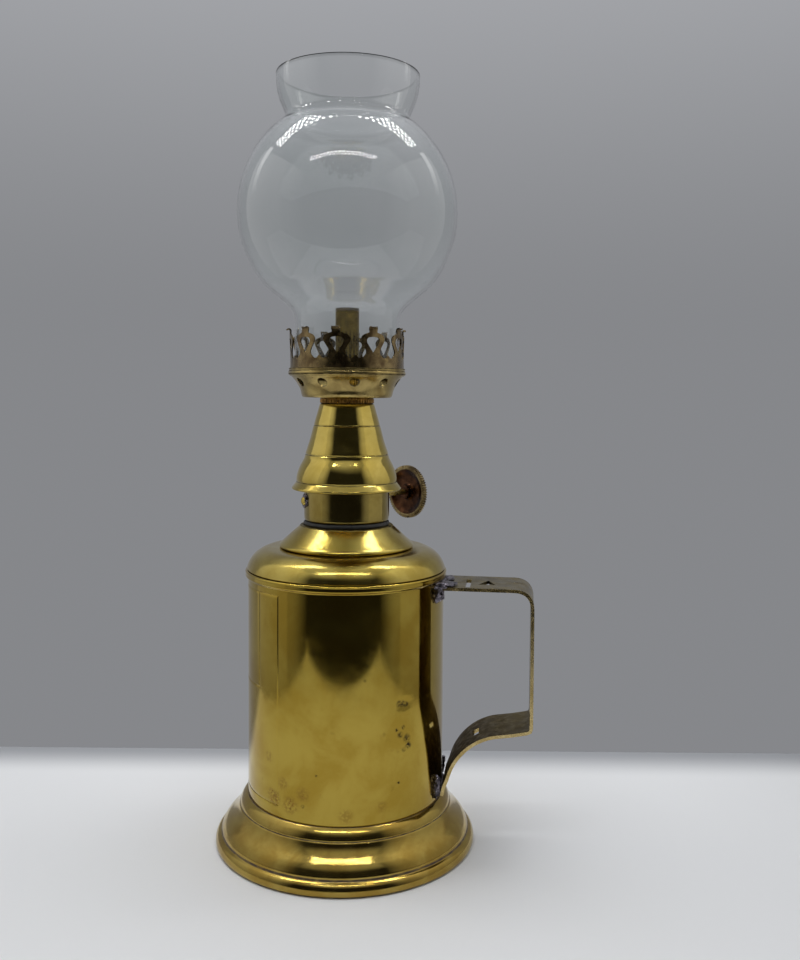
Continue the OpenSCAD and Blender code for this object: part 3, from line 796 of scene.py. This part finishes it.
bar, left, right, point = (x - grip[0, 0] for x in (36.6, 40.3, 45.5, 43.2))
marks = [box(bar, bar + 1.5, -7.8, 3.8), [(left, -3.4), (right, -3.4), (point, 3.2)],
         box(min(low_leg), max(low_leg), -3.4, 1.5)]
edge_line = [(s, -strap_w + 0.12 * math.sin(s / 17)) for s in np.linspace(root(strap_w), grip_s[-1], 60)]
root_line = [(root(y), y) for y in np.linspace(strap_w, -strap_w, 20)[1:-1]]
pts, tris = flat_mesh(edge_line + [(s, -y) for s, y in edge_line[::-1]] + root_line, marks, 1.0)
v, f = thick(pts, tris, at_strap)
strap = piece("strap_handle", v, f, brass_strap.mat, "lamp", "dull_brass", ("handle_strap",), angle=30,
              bevel=0.14)
strap.data.materials.append(brass_edge.mat)
for p in strap.data.polygons:
    if abs(p.normal.y) > 0.85:
        p.material_index = 1

# ---- Solder ----

def lump(centre, size, seed, rough=0.22):
    """A cooled drop of solder."""
    bm = bmesh.new()
    bmesh.ops.create_icosphere(bm, subdivisions=4, radius=1)
    verts = []
    for q in bm.verts:
        d = 1 + rough * noise.fractal(q.co * 1.6 + Vector((seed, 0, 0)), 0.8, 2.0, 4)
        verts.append([centre[i] + size[i] * q.co[i] * d for i in range(3)])
    faces = [tuple(x.index for x in f.verts) for f in bm.faces]
    bm.free()
    return np.array(verts), faces


def together(*meshes):
    """Several meshes as one."""
    verts, faces, at = [], [], 0
    for v, f in meshes:
        verts.append(v)
        faces += [tuple(i + at for i in q) for q in f]
        at += len(v)
    return np.vstack(verts), faces


def bead(points, radius, seed, closed=False):
    """A run of solder along points."""
    line = split(np.array(points, float), 0.45)
    if closed:
        line = line[:-1]
    r = [radius * (1 + 0.45 * noise.noise(Vector((i * 0.31, seed, 0.5)))) for i in range(len(line))]
    return swept(line, r, 14, closed,
                 lambda i, a: 0.22 * noise.noise(Vector((i * 0.5, 2 * math.cos(a) + seed, 2 * math.sin(a)))))


def on_wall(y, z, out=0.15):
    """A point on the reservoir's wall on the handle's side."""
    return (math.sqrt((body_r + out) ** 2 - y * y), y, z)


w = strap_w + 0.1
loop = ([on_wall(y, 80.0) for y in np.linspace(-w, w, 24)]
        + [on_wall(y, 81.75) for y in np.linspace(w, -w, 24)] + [on_wall(-w, 80.0)])
v, f = together(bead(loop, 0.72, 3.0, True),
                lump(on_wall(-w - 0.1, 79.4, 0.7), (1.6, 1.1, 2.5), 1.0, 0.4),
                lump(on_wall(-w - 0.25, 81.5, 0.9), (1.9, 0.9, 1.2), 2.0, 0.4),
                lump(on_wall(-w + 1.2, 82.0, 1.2), (1.9, 1.4, 0.5), 3.0, 0.3),
                lump(on_wall(w, 80.4, 0.3), (1.0, 0.8, 1.7), 4.0, 0.3),
                lump(on_wall(-5.5, 81.75, 2.2), (2.6, 3.2, 0.28), 5.0, 0.35),
                lump(on_wall(3.0, 81.75, 1.4), (1.7, 4.0, 0.3), 6.0, 0.35))
piece("solder_top", v, f, solder, "lamp", "solder", ("upper_solder",), angle=60)
side = [(z, x) for x, z in grip if z < 28 and x < 36][::-1]
near = [(body_r - 0.75 + 0.35 * (x - body_r), -w + 0.35, z) for z, x in side if z < 24]
far = [(x, -y, z) for x, y, z in near]
foot_line = [on_wall(y, 18.1, 0.3) for y in np.linspace(-w + 0.3, w - 0.3, 22)]
v, f = together(bead(near, 0.85, 5.0), bead(far, 0.85, 6.0), bead(foot_line, 0.7, 7.0),
                lump((28.9, -w + 0.2, 19.4), (1.15, 0.95, 1.9), 8.0, 0.35),
                lump((29.4, -w + 0.5, 22.6), (1.0, 0.8, 1.6), 9.0, 0.35),
                lump((28.9, w - 0.2, 19.4), (1.1, 0.9, 1.8), 10.0, 0.35))
piece("solder_foot", v, f, solder, "lamp", "solder", ("lower_solder",), angle=60)

# ---- Burner ----

gasket_r = span("neck_gasket")[1].y
lathe("sealing_ring", rubber, "seal", "gasket", ("neck_gasket",),
      rounded([(plug_r + 0.35, neck_z + 0.03), (gasket_r - 0.15, neck_z + 0.03, 0.4),
               (gasket_r, neck_z + 0.6, 0.4), (gasket_r - 0.3, collar_z - 0.03, 0.4),
               (plug_r + 0.35, collar_z - 0.03)], 5), 144, push=uneven(0.10, 0.9, 7, beyond=11))

seam_a = math.radians(-24)
wall = rounded([(plug_r + 0.1, collar_z), (collar_r - 0.1, collar_z + 0.02, 0.9),
                (collar_r, collar_z + 1.6, 0.4), (collar_r, collar_top, 0.1),
                (collar_r - 0.5, collar_top), (collar_r - 0.5, collar_z + 0.8, 0.2),
                (collar_r - 1.0, collar_z + 0.65), (plug_r + 0.1, collar_z + 0.65)], 6)
angles = np.sort(np.concatenate([np.linspace(0, 2 * np.pi, 200, endpoint=False),
                                 [np.mod(seam_a, 2 * np.pi) + d / collar_r
                                  for d in (-0.16, -0.08, 0, 0.08, 0.16)]]))
lathe("burner_body", brass_collar.mat, "burner", "brass", ("burner_collar",), split(wall, 0.8),
      angles=angles,
      push=lambda a, z, r: (r > collar_r - 0.2) * (0.03 * ripple(a, z, 9, 8) - 0.09 * np.clip(
          1 - np.abs(np.mod(a - seam_a + np.pi, 2 * np.pi) - np.pi) * collar_r / 0.13, 0, 1)))

slot_a = math.atan2(spindle_p.y, spindle_p.x)
round_tube = 2 * math.pi * tube_r
bore_r = tube_r - 0.5
slot_box = [(-1.2, 91.9), (1.2, 91.9), (1.2, 118.9), (-1.2, 118.9)]
pts, tris = flat_mesh([(-round_tube / 2, tube_lo), (round_tube / 2, tube_lo),
                       (round_tube / 2, tube_top - 0.1), (-round_tube / 2, tube_top - 0.1)],
                      [slot_box], 0.55)


def at_tube(points, side):
    a = points[:, 0] / tube_r + slot_a
    r = bore_r + side * (tube_r - bore_r) - 0.12 * side * np.clip((points[:, 1] - tube_top + 0.6) / 0.5, 0,
                                                                  1) ** 2
    return np.stack([r * np.cos(a), r * np.sin(a), points[:, 1]], 1)


v, f = thick(pts, tris, at_tube, same_point)
piece("wick_pipe", v, f, brass_tube.mat, "burner", "brass", ("wick_tube",))

lathe("spindle_gland", brass_works.mat, "burner", "brass", ("spindle_bush",),
      np.vstack([rounded([(0.97, 8.6), (1.5, 8.6, 0.15), (1.5, 12.6, 0.1), (2.3, 12.6, 0.2),
                          (2.3, 13.75, 0.3), (1.55, 13.85, 0.2), (1.45, 14.9, 0.25), (0.97, 14.95)], 4)]),
      64, matrix=on_spindle(0))

stub_end = -(collar_r - 0.6)
dome_end = rounded([(0.0, -0.12), (0.7, -0.08, 0.2), (1.25, 0.18, 0.3), (1.35, 0.6, 0.2), (1.35, 3.5, 0.1),
                    (1.0, 3.6), (1.0, 0.75), (0.0, 0.75)], 5)
lathe("spindle_stub", brass_cone.mat, "burner", "brass", ("stub_bush",), dome_end + [0, stub_end], 64,
      closed=False, matrix=on_spindle(0))


def wrap(y, z, out):
    """A point on the collar opposite the knob: y across the spindle's line, z the height above it."""
    c = spindle_p + Vector((0, 0, z))
    side_dir = Vector((-spindle_dir.y, spindle_dir.x, 0))
    off = spindle_p.dot(side_dir) + y
    x = -math.sqrt((collar_r + out) ** 2 - off * off)
    q = spindle_dir * x + side_dir * off
    return (q.x, q.y, c.z)


ring_pts = [wrap(1.75 * math.cos(t), 1.75 * math.sin(t), 0.0) for t in np.linspace(0, 2 * np.pi, 30)]
v, f = together(bead(ring_pts, 0.45, 11.0, True), lump(wrap(-1.9, 0.9, -0.1), (0.75, 0.75, 1.1), 12.0, 0.4),
                lump(wrap(-2.3, -0.5, -0.15), (0.6, 0.7, 0.8), 13.0, 0.4),
                lump(wrap(-1.5, 1.7, -0.15), (0.6, 0.7, 0.7), 14.0, 0.4))
piece("stub_join", v, f, solder, "burner", "solder", ("stub_solder",), angle=60)

# ---- Wick drive ----

shaft_lo, shaft_hi = stub_end + 0.7, knob_mid + 1.6
lathe("knob_spindle", brass_works.mat, "knob", "brass", ("spindle",),
      rounded([(0.0, shaft_lo), (0.9, shaft_lo, 0.15), (0.9, shaft_hi - 0.2), (0.9, shaft_hi, 0.1),
               (0.0, shaft_hi)], 3), 48, closed=False, matrix=on_spindle(0))

teeth = 66
face = rounded([(0.93, -1.4), (2.0, -1.4, 0.2), (2.15, -0.2, 0.4), (2.8, 0.35, 0.8),
                (knob_r - 3.0, 0.2, 1.0), (knob_r - 1.75, -0.55, 0.4),
                (knob_r - 1.2, -0.75, 0.2), (knob_r - 0.02, -0.72, 0.12), (knob_r, 0.7, 0.12),
                (knob_r - 0.7, 1.05, 0.3), (knob_r - 1.9, 1.0, 0.6),
                (knob_r - 3.4, 1.35, 0.8), (2.6, 1.3, 0.4), (2.2, 1.58, 0.2), (0.93, 1.6)], 5)
knob = lathe("milled_knob", brass_knob.mat, "knob", "dark_brass", ("wick_knob",), face, teeth * 6,
             push=lambda a, z, r: (-0.42 * np.clip((r - (knob_r - 1.15)) / 0.5, 0, 1)
                                   * np.clip(0.5 + 0.9 * np.cos(a * teeth), 0, 1)
                                   + 0.04 * ripple(a, z, 2, 9) * (r < knob_r - 1.5)),
             matrix=on_spindle(knob_mid), angle=38)
knob.data.materials.append(brass_mill.mat)
axis0 = spindle_p * MM
for p in knob.data.polygons:
    d = Vector(p.center) - axis0
    if (d - spindle_dir * d.dot(spindle_dir)).length > (knob_r - 1.35) * MM:
        p.material_index = 1
lathe("rivet_head", brass_mill.mat, "knob", "brass", ("knob_rivet",),
      rounded([(0.0, 1.6), (1.6, 1.62, 0.1), (1.7, 1.8, 0.15), (1.3, 2.2, 0.4), (0.0, 2.32)], 5), 48,
      closed=False, matrix=on_spindle(knob_mid))

wick_lo, wick_hi = low("wick"), high("wick")
wick_r = span("wick")[1].y
rows = np.concatenate([np.arange(wick_lo + 0.4, wick_hi - 30, 1.2),
                       np.arange(wick_hi - 30, wick_hi - 0.5, 0.16)])
body = [[0.0, wick_lo], [wick_r * 0.8, wick_lo + 0.05]] + [[wick_r - 0.02, z] for z in rows]
body += [[wick_r * 0.9, wick_hi - 0.22], [wick_r * 0.55, wick_hi - 0.06], [0.0, wick_hi]]


def braid(a, z, r):
    one = np.abs(np.sin(9 * a + (z - wick_lo) * 2.3))
    two = np.abs(np.sin(9 * a - (z - wick_lo) * 2.3))
    return -0.20 * (1 - np.maximum(one, two) ** 0.7) * (r > wick_r * 0.5)


lathe("cotton_wick", cotton, "wick", "wick", ("wick",), np.array(body), 108, push=braid, closed=False,
      angle=70)

# ---- Cone ----

cone_at = (0, cone_z)
cone = np.vstack([
    rounded([(collar_r + 0.75, 0.05), (16.1, 0.06), (16.55, 0.22, 0.3), (16.64, 0.62, 0.25),
             (16.4, 0.95, 0.2),
             (15.42, 2.12, 0.25), (15.22, 2.3, 0.1), (15.1, 2.45, 0.08)], 4, at=cone_at),
    flowing([(15.24, 2.75), (15.2, 3.7), (14.98, 4.8), (14.55, 6.1), (13.95, 7.5), (13.25, 8.8),
             (12.8, 9.7), (12.66, 10.35)], 0.45, at=cone_at),
    rounded([(12.6, 10.45), (12.42, 10.6, 0.06), (12.38, 10.75, 0.06), (12.5, 10.95, 0.1)], 3,
            at=cone_at)[1:],
    flowing([(12.34, 11.5), (11.86, 12.9), (11.3, 14.6), (10.8, 16.4), (10.42, 17.9), (10.18, 18.8),
             (10.1, 19.1)], 0.45, at=cone_at),
    rounded([(10.05, 19.15), (9.9, 19.28, 0.06), (9.86, 19.42, 0.06), (9.92, 19.65, 0.1)], 3,
            at=cone_at)[1:],
    flowing([(9.72, 20.4), (9.42, 21.5), (9.0, 22.9), (8.6, 24.3), (8.36, 25.1)], 0.45, at=cone_at),
    rounded([(8.3, cone_z + 25.3), (8.15, cone_top - 0.05, 0.4), (7.7, cone_top, 0.1), (5.4, cone_top)],
            4)])
lathe("stepped_cone", brass_cone.mat, "cap", "brass", ("cone_cap",), strip(cone, 0.45), 224,
      push=uneven(0.045, 5, 10, above=cone_z + 1.5, beyond=8), angle=28)

notches = 54
ring = split(rounded([(5.4, cone_top), (ring_r - 0.35, cone_top + 0.02, 0.15),
                      (ring_r - 0.05, cone_top + 0.22, 0.12), (ring_r, cone_top + 0.45, 0.1),
                      (ring_r, dish_z - 0.5, 0.1), (ring_r - 0.1, dish_z - 0.2, 0.12),
                      (ring_r - 0.4, dish_z - 0.03, 0.15), (5.4, dish_z - 0.03)], 4), 0.4)
lathe("milled_ring", brass_ring.mat, "cap", "ring_brass", ("clamp_ring",), ring, notches * 8,
      push=lambda a, z, r: (-0.20 * (r > ring_r - 0.2) * np.clip((z - cone_top - 0.3) / 0.15, 0, 1)
                            * np.clip((dish_z - 0.35 - z) / 0.15, 0, 1)
                            * np.clip(0.5 + 0.8 * np.cos(a * notches), 0, 1)), angle=35)

hub = span("gallery_tube")[1].y
g_lo, g_hi = low("gallery_tube"), high("gallery_tube")
lathe("gallery_rivet", brass_crown.mat, "cap", "brass", ("gallery_tube",),
      rounded([(4.3, g_lo), (hub - 0.25, g_lo, 0.2), (hub - 0.2, g_lo + 0.62, 0.2), (5.24, g_lo + 0.66),
               (5.24, dish_z + 0.55), (hub, dish_z + 0.56, 0.1), (hub - 0.2, g_hi - 0.2, 0.3),
               (4.9, g_hi, 0.3), (4.28, g_hi - 0.3)], 4), 96)

# ---- Gallery ----

holes = 10
dish_at = (0, dish_z)
dish = np.vstack([rounded([(5.35, 0), (12.7, 0, 0.1), (13.35, 0.15, 0.35), (13.62, 0.8, 0.3)], 5,
                          at=dish_at),
                  flowing([(13.7, 1.3), (13.9, 2.1), (14.35, 3.2), (14.95, 4.25), (15.6, 5.15),
                           (16.35, 6.0), (16.95, 6.65), (17.05, 7.2)], 0.4, at=dish_at)])
dish = split(dish, 0.7)
dish_s = along(dish)
in_n = beside(dish, 1.0) - dish
dish_wall = 0.5
hole_s = np.interp(dish_z + 4.55, dish[:, 1], dish_s)
hole_ring_r = 15.2
sector = 2 * math.pi * hole_ring_r / holes
rng = np.random.default_rng(12)
all_pts, all_tris = [], []
for k in range(holes):
    hole = [(1.55 * math.cos(t) + rng.normal(0, 0.01), hole_s + 1.5 * math.sin(t))
            for t in np.linspace(0, 2 * np.pi, 36, endpoint=False)]
    pts, tris = flat_mesh([(-sector / 2, 0), (sector / 2, 0), (sector / 2, dish_s[-1]),
                           (-sector / 2, dish_s[-1])], [hole], 0.62)
    all_tris.append(tris + sum(len(q) for q in all_pts))
    all_pts.append(pts + [k * sector, 0])


def at_dish(points, side):
    a, s = points[:, 0] / hole_ring_r, points[:, 1]
    inwards = dish_wall * (1 - side)
    r = np.interp(s, dish_s, dish[:, 0]) + inwards * np.interp(s, dish_s, in_n[:, 0])
    z = np.interp(s, dish_s, dish[:, 1]) + inwards * np.interp(s, dish_s, in_n[:, 1])
    r = r + 0.05 * ripple(a, z, 4, 11)
    return np.stack([r * np.cos(a), r * np.sin(a), z], 1)


v, f = thick(np.vstack(all_pts), np.vstack(all_tris), at_dish, same_point)
piece("gallery_bowl", v, f, brass_dish.mat, "cap", "brass", ("gallery_dish",), angle=35)
rim = rounded([(16.98, rim_z - 2.3), (17.15, rim_z - 2.2, 0.1), (dish_r - 0.12, rim_z - 1.75, 0.2),
               (dish_r, rim_z - 1.3, 0.25), (dish_r - 0.12, rim_z - 0.95, 0.15),
               (dish_r - 0.33, rim_z - 0.82, 0.08), (dish_r - 0.28, rim_z - 0.6, 0.08),
               (dish_r - 0.2, rim_z - 0.35, 0.15), (dish_r - 0.3, rim_z, 0.2), (16.98, rim_z - 0.02)], 4)
lathe("gallery_rim", brass_dish.mat, "cap", "brass", (), rim, 192)

# ---- Crown ----

base_z = rim_z + 2.8
crown_r = 16.75
crown_wall = 0.4
lean = rng.normal(0, 0.16, holes)
twist = rng.normal(0, 0.22, holes)
tall = rng.normal(0, 0.12, holes)
drop = base_z - crown_lo
stem = crown_hi - base_z - 0.62
prong_line = np.vstack([[[0, -drop], [0, 0], [0.0, 2.0], [0.02, 3.2], [0.08, 4.6], [0.16, 6.0],
                         [0.18, stem]],
                        [(0.18 + 0.56 * (1 - math.cos(t)), stem + 0.56 * math.sin(t))
                         for t in np.radians([20, 40, 60, 80, 100, 120, 140, 160])]])
prong_v = along(prong_line) - drop
prong_n = np.gradient(prong_line, axis=0)
prong_n /= np.linalg.norm(prong_n, axis=1)[:, None]
prong_n = np.stack([prong_n[:, 1], -prong_n[:, 0]], 1)
pitch_u = 2 * math.pi * crown_r / holes
tip = prong_v[-1]
all_pts, all_tris = [], []
for k in range(holes):
    wide = 1 + rng.normal(0, 0.025)
    half = np.vstack([rounded([(pitch_u / 2, -drop), (pitch_u / 2, 0.75), (4.95, 0.62, 0.12),
                               (4.55, 0.05, 0.3), (3.75, -0.12, 0.3), (3.05, 0.2, 0.3),
                               (2.3 * wide, 1.0, 0.4), (2.1 * wide, 1.9, 0.4), (2.75 * wide, 3.2, 0.6),
                               (3.55 * wide, 4.5, 0.6), (3.8 * wide, 5.6, 0.6),
                               (3.1 * wide, 6.5, 0.6), (1.9, 7.0, 0.4), (1.25, 7.15, 0.3),
                               (1.15, 7.5, 0.2), (1.3, 8.0, 0.3), (1.3, 8.6, 0.3),
                               (1.0, 9.2, 0.3), (0.5, tip - 0.08, 0.3), (0.0, tip)], 5)])
    outline = np.vstack([half, (half * [-1, 1])[::-1][1:]])
    eye = rounded([(0, 1.35), (0.4, 1.95, 0.3), (1.15, 3.1, 0.6), (1.95, 4.3, 0.7), (2.05, 5.2, 0.5),
                   (1.5, 5.8, 0.4), (0, 6.0, 0.6), (-1.5, 5.8, 0.4),
                   (-2.05, 5.2, 0.5), (-1.95, 4.3, 0.7), (-1.15, 3.1, 0.6), (-0.4, 1.95, 0.3), (0, 1.35)],
                  4)[:-1]
    pts, tris = flat_mesh(outline, [eye], 0.55)
    all_tris.append(tris + sum(len(q) for q in all_pts))
    all_pts.append(pts + [(k + 0.5) * pitch_u, 0])


def at_crown(points, side):
    u, h = points[:, 0], points[:, 1]
    k = np.clip((u / pitch_u).astype(int), 0, holes - 1)
    rise = np.clip(h / 8.5, 0, 1.3)
    u = u + twist[k] * rise ** 2 * (h > 0)
    offset = np.stack([np.interp(h, prong_v, prong_line[:, 0]), np.interp(h, prong_v, prong_line[:, 1])], 1)
    n = np.stack([np.interp(h, prong_v, prong_n[:, 0]), np.interp(h, prong_v, prong_n[:, 1])], 1)
    q = offset + n * crown_wall * (side - 0.5)
    r = crown_r + q[:, 0] + np.clip(lean[k], -0.2, 0.22) * rise ** 2 * (h > 0)
    z = base_z + q[:, 1] - np.abs(tall[k]) * rise * (h > 0)
    a = u / crown_r
    return np.stack([r * np.cos(a), r * np.sin(a), z], 1)


v, f = thick(np.vstack(all_pts), np.vstack(all_tris), at_crown, same_point)
piece("prong_crown", v, f, brass_crown.mat, "cap", "dark_brass", ("gallery_crown",), angle=40)
lathe("crown_seat", brass_crown.mat, "cap", "dark_brass", (),
      rounded([(14.2, crown_lo), (16.5, crown_lo, 0.1), (16.5, crown_lo + 0.45, 0.1),
               (14.3, crown_lo + 0.5, 0.15), (14.2, crown_lo + 0.3)], 3), 160)

# ---- Chimney ----

mid_z = glass_lo + 45.9
neck_r = 15.6
globe = [(globe_r * math.cos(math.radians(t)), mid_z + globe_r * math.sin(math.radians(t)))
         for t in np.arange(-40, 50.1, 3)]
outside = flowing([(neck_r - 0.05, glass_lo), (neck_r, glass_lo + 4), (neck_r, glass_lo + 9),
                   (neck_r, glass_lo + 13.2), (neck_r + 0.28, glass_lo + 16.2),
                   (neck_r + 1.6, glass_lo + 18.6), (neck_r + 4.2, glass_lo + 20.9),
                   (neck_r + 7.3, glass_lo + 23.5)] + globe
                  + [(19.4, mid_z + 25.85), (18.45, mid_z + 26.9), (18.2, mid_z + 28.0),
                     (18.6, mid_z + 29.3), (19.6, mid_z + 31.6),
                     (20.4, mid_z + 34.0), (20.8, mid_z + 36.6), (20.95, glass_top - 0.35)], 0.7)
edge = [(20.9, glass_top - 0.08), (20.55, glass_top), (20.2, glass_top - 0.08)]
shell = beside(outside, 0.95)[::-1]
lathe("globe_glass", glass, "glass", "glass", ("glass_chimney",), np.vstack([outside, edge, shell]), 288,
      push=uneven(0.03, 14, 13), angle=60)

# ---- CAD pieces that keep their shape ----

for name, paint in (("wadding_gauze", solder), ("pinion", brass_works.mat),
                    ("wick_carrier", brass_works.mat), ("wick_rack", brass_works.mat),
                    ("cone_sleeve", brass_works.mat)):
    obj = nodes[name]
    if obj.data.materials:
        for i in range(len(obj.data.materials)):
            obj.data.materials[i] = paint
    else:
        obj.data.materials.append(paint)

# ---- Stage: a pale floor in a light tent with an open front ----

turn_by = math.radians(6.8)
tent = Matrix.Rotation(turn_by, 4, "Z")


def tent_depth(p):
    """Distance along the tent, from front to back."""
    x, y, z = p.height()
    return p.math("SUBTRACT", p.math("MULTIPLY", y, math.cos(turn_by)),
                  p.math("MULTIPLY", x, math.sin(turn_by)))


def glowing(name, power, fade=None):
    """A white card whose glow changes with height, and with depth if it has a fade."""
    p = Paint(name, Metallic=0.0)
    p.shader.inputs["Base Color"].default_value = (0, 0, 0, 1)
    p.shader.inputs["Specular IOR Level"].default_value = 0
    p.shader.inputs["Emission Color"].default_value = (1, 1, 1, 1)
    z = p.height()[2]
    glow = p.math("MAXIMUM", p.ramp(z, 0.0, 0.30, power[0], power[1], smooth=False), 0.0)
    if fade:
        glow = p.math("MULTIPLY", glow, p.ramp(tent_depth(p), *fade))
    p.set("Emission Strength", glow)
    return p.mat


def sheet(name, corners, material, seen=True):
    """A flat card of the stage. One that isn't seen only lights and shows in reflections."""
    mesh = bpy.data.meshes.new(name)
    mesh.from_pydata([tuple(tent @ (Vector(c) * MM)) for c in corners], [], [(0, 1, 2, 3)])
    mesh.materials.append(material)
    obj = bpy.data.objects.new(name, mesh)
    bpy.context.scene.collection.objects.link(obj)
    if not seen:
        obj.visible_camera = False
        obj.visible_transmission = False
        obj.visible_shadow = False
    return obj


floor_paint = Paint("pale_floor", Metallic=0.0, Roughness=0.6)
floor_paint.shader.inputs["Specular IOR Level"].default_value = 0.2
# Painted shade on the floor: from 46 to 70 mm behind the lamp its colour darkens into the dimmer backdrop
floor_paint.set("Base Color", floor_paint.mix(floor_paint.ramp(tent_depth(floor_paint), 0.046, 0.0705, 0.0,
                                                               1.0), (0.78, 0.79, 0.80),
                                              (0.34, 0.35, 0.37)))
floor_paint = floor_paint.mat
sheet("floor", [(-700, -215, 0), (700, -215, 0), (700, 71, 0), (-700, 71, 0)], floor_paint)
wall_paint = glowing("tent_side", (0.32, 1.05))
front_paint = glowing("tent_side_front", (0.24, 0.8), fade=(-0.215, -0.10, 0.15, 1.0))
streak_paint = glowing("tent_streak", (-6.0, 3.0))
for x, name in ((-175, "left"), (175, "right")):
    sheet("tent_" + name, [(x, -90, 1), (x, 75, 1), (x, 75, 330), (x, -90, 330)], wall_paint, seen=False)
    sheet("tent_front_" + name, [(x, -205, 1), (x, -90, 1), (x, -90, 330), (x, -205, 330)], front_paint,
          seen=False)
    sheet("tent_streak_" + name, [(x * 0.99, 22, 230), (x * 0.99, 42, 230), (x * 0.99, 60, 345),
                                  (x * 0.99, 34, 345)], streak_paint, seen=False)

# ---- World ----

world = bpy.data.worlds.new("studio")
bpy.context.scene.world = world
world.use_nodes = True
wt = world.node_tree
wt.nodes.clear()


def wnode(kind, **props):
    node = wt.nodes.new(kind)
    for k, v in props.items():
        setattr(node, k, v)
    return node


def wmath(op, a, b):
    node = wnode("ShaderNodeMath", operation=op)
    for socket, v in zip(node.inputs, (a, b)):
        if hasattr(v, "is_linked"):
            wt.links.new(v, socket)
        else:
            socket.default_value = v
    return node.outputs[0]


def wmap(value, lo, hi, a, b):
    """A smooth change from a to b while value goes from lo to hi."""
    node = wnode("ShaderNodeMapRange", interpolation_type="SMOOTHSTEP")
    for k, v in (("From Min", lo), ("From Max", hi), ("To Min", a), ("To Max", b)):
        node.inputs[k].default_value = v
    wt.links.new(value, node.inputs["Value"])
    return node.outputs["Result"]


coord = wnode("ShaderNodeTexCoord")
xyz = wnode("ShaderNodeSeparateXYZ")
wt.links.new(coord.outputs["Generated"], xyz.inputs[0])
path = wnode("ShaderNodeLightPath")
clear = wmath("MAXIMUM", path.outputs["Is Camera Ray"], path.outputs["Is Transmission Ray"])
# Painted light on the backdrop seen straight on and through the glass: dim low, brighter towards the top
seen_tone = wmap(xyz.outputs[2], 0.05, 0.62, 0.245, 0.47)
behind = wmap(xyz.outputs[1], -0.25, 0.15, 0.022, 0.30)
overhead = wmap(xyz.outputs[2], 0.55, 0.8, 0.0, 0.45)
around = wmath("ADD", behind, overhead)
pick = wnode("ShaderNodeMix", data_type="FLOAT")
wt.links.new(clear, pick.inputs[0])
wt.links.new(around, pick.inputs[2])
wt.links.new(seen_tone, pick.inputs[3])
back = wnode("ShaderNodeBackground")
back.inputs["Color"].default_value = (0.97, 0.99, 1.045, 1)
wt.links.new(pick.outputs[0], back.inputs["Strength"])
out = wnode("ShaderNodeOutputWorld")
wt.links.new(back.outputs[0], out.inputs["Surface"])

# ---- Lights ----


soft = bpy.data.lights.new("top_soft", "AREA")
soft.shape, soft.size, soft.size_y, soft.energy = "RECTANGLE", 0.42, 0.33, 0.225
soft_obj = bpy.data.objects.new("top_soft", soft)
bpy.context.scene.collection.objects.link(soft_obj)
place, target = tent @ Vector((0, -0.03, 0.43)), tent @ Vector((0, -0.02, 0))
soft_obj.matrix_world = Matrix.Translation(place) @ (target
                                                     - place).to_track_quat("-Z", "Y").to_matrix().to_4x4()
soft_obj.visible_camera = soft_obj.visible_transmission = soft_obj.visible_glossy = False


def lamps(name, y, z, length, rows, pitch, size, power):
    """A strip of small square lamps, facing down."""
    verts, faces = [], []
    for k in range(rows):
        for i in range(int(length / pitch)):
            x, y0 = (i + 0.5 * (k % 2)) * pitch - length / 2, y + k * pitch
            n = len(verts)
            verts += [tuple(tent @ (Vector((x + a * size / 2, y0 + b * size / 2, z)) * MM)) for a,
                      b in ((-1, -1), (1, -1), (1, 1), (-1, 1))]
            faces.append((n, n + 1, n + 2, n + 3))
    mesh = bpy.data.meshes.new(name)
    mesh.from_pydata(verts, [], faces)
    paint = Paint(name, Metallic=0.0)
    paint.shader.inputs["Base Color"].default_value = (0, 0, 0, 1)
    paint.shader.inputs["Emission Color"].default_value = (1, 1, 1, 1)
    paint.shader.inputs["Emission Strength"].default_value = power
    mesh.materials.append(paint.mat)
    obj = bpy.data.objects.new(name, mesh)
    bpy.context.scene.collection.objects.link(obj)
    obj.visible_camera = obj.visible_transmission = obj.visible_shadow = False


lamps("front_strip", -208, 416, 337, 2, 16.9, 7.3, 46.0)
lamps("back_strip", 17, 416, 455, 4, 16.9, 7.3, 34.0)

# ---- Camera ----

cam = bpy.data.cameras.new("camera")
cam.sensor_width, cam.lens, cam.clip_start = 36, 36.75, 0.01
cam.dof.use_dof = False
cam_obj = bpy.data.objects.new("camera", cam)
bpy.context.scene.collection.objects.link(cam_obj)
aim = Vector((-0.11787, 0.98846, -0.09520))
cam_obj.matrix_world = (Matrix.Translation((0.050976, -0.291381, 0.139734))
                        @ aim.to_track_quat("-Z", "Y").to_matrix().to_4x4()
                        @ Matrix.Rotation(math.radians(0.5), 4, "Z"))
bpy.context.scene.camera = cam_obj
bpy.context.scene.view_settings.view_transform = "Standard"
bpy.context.scene.view_settings.look = "None"

bpy.context.view_layer.update()
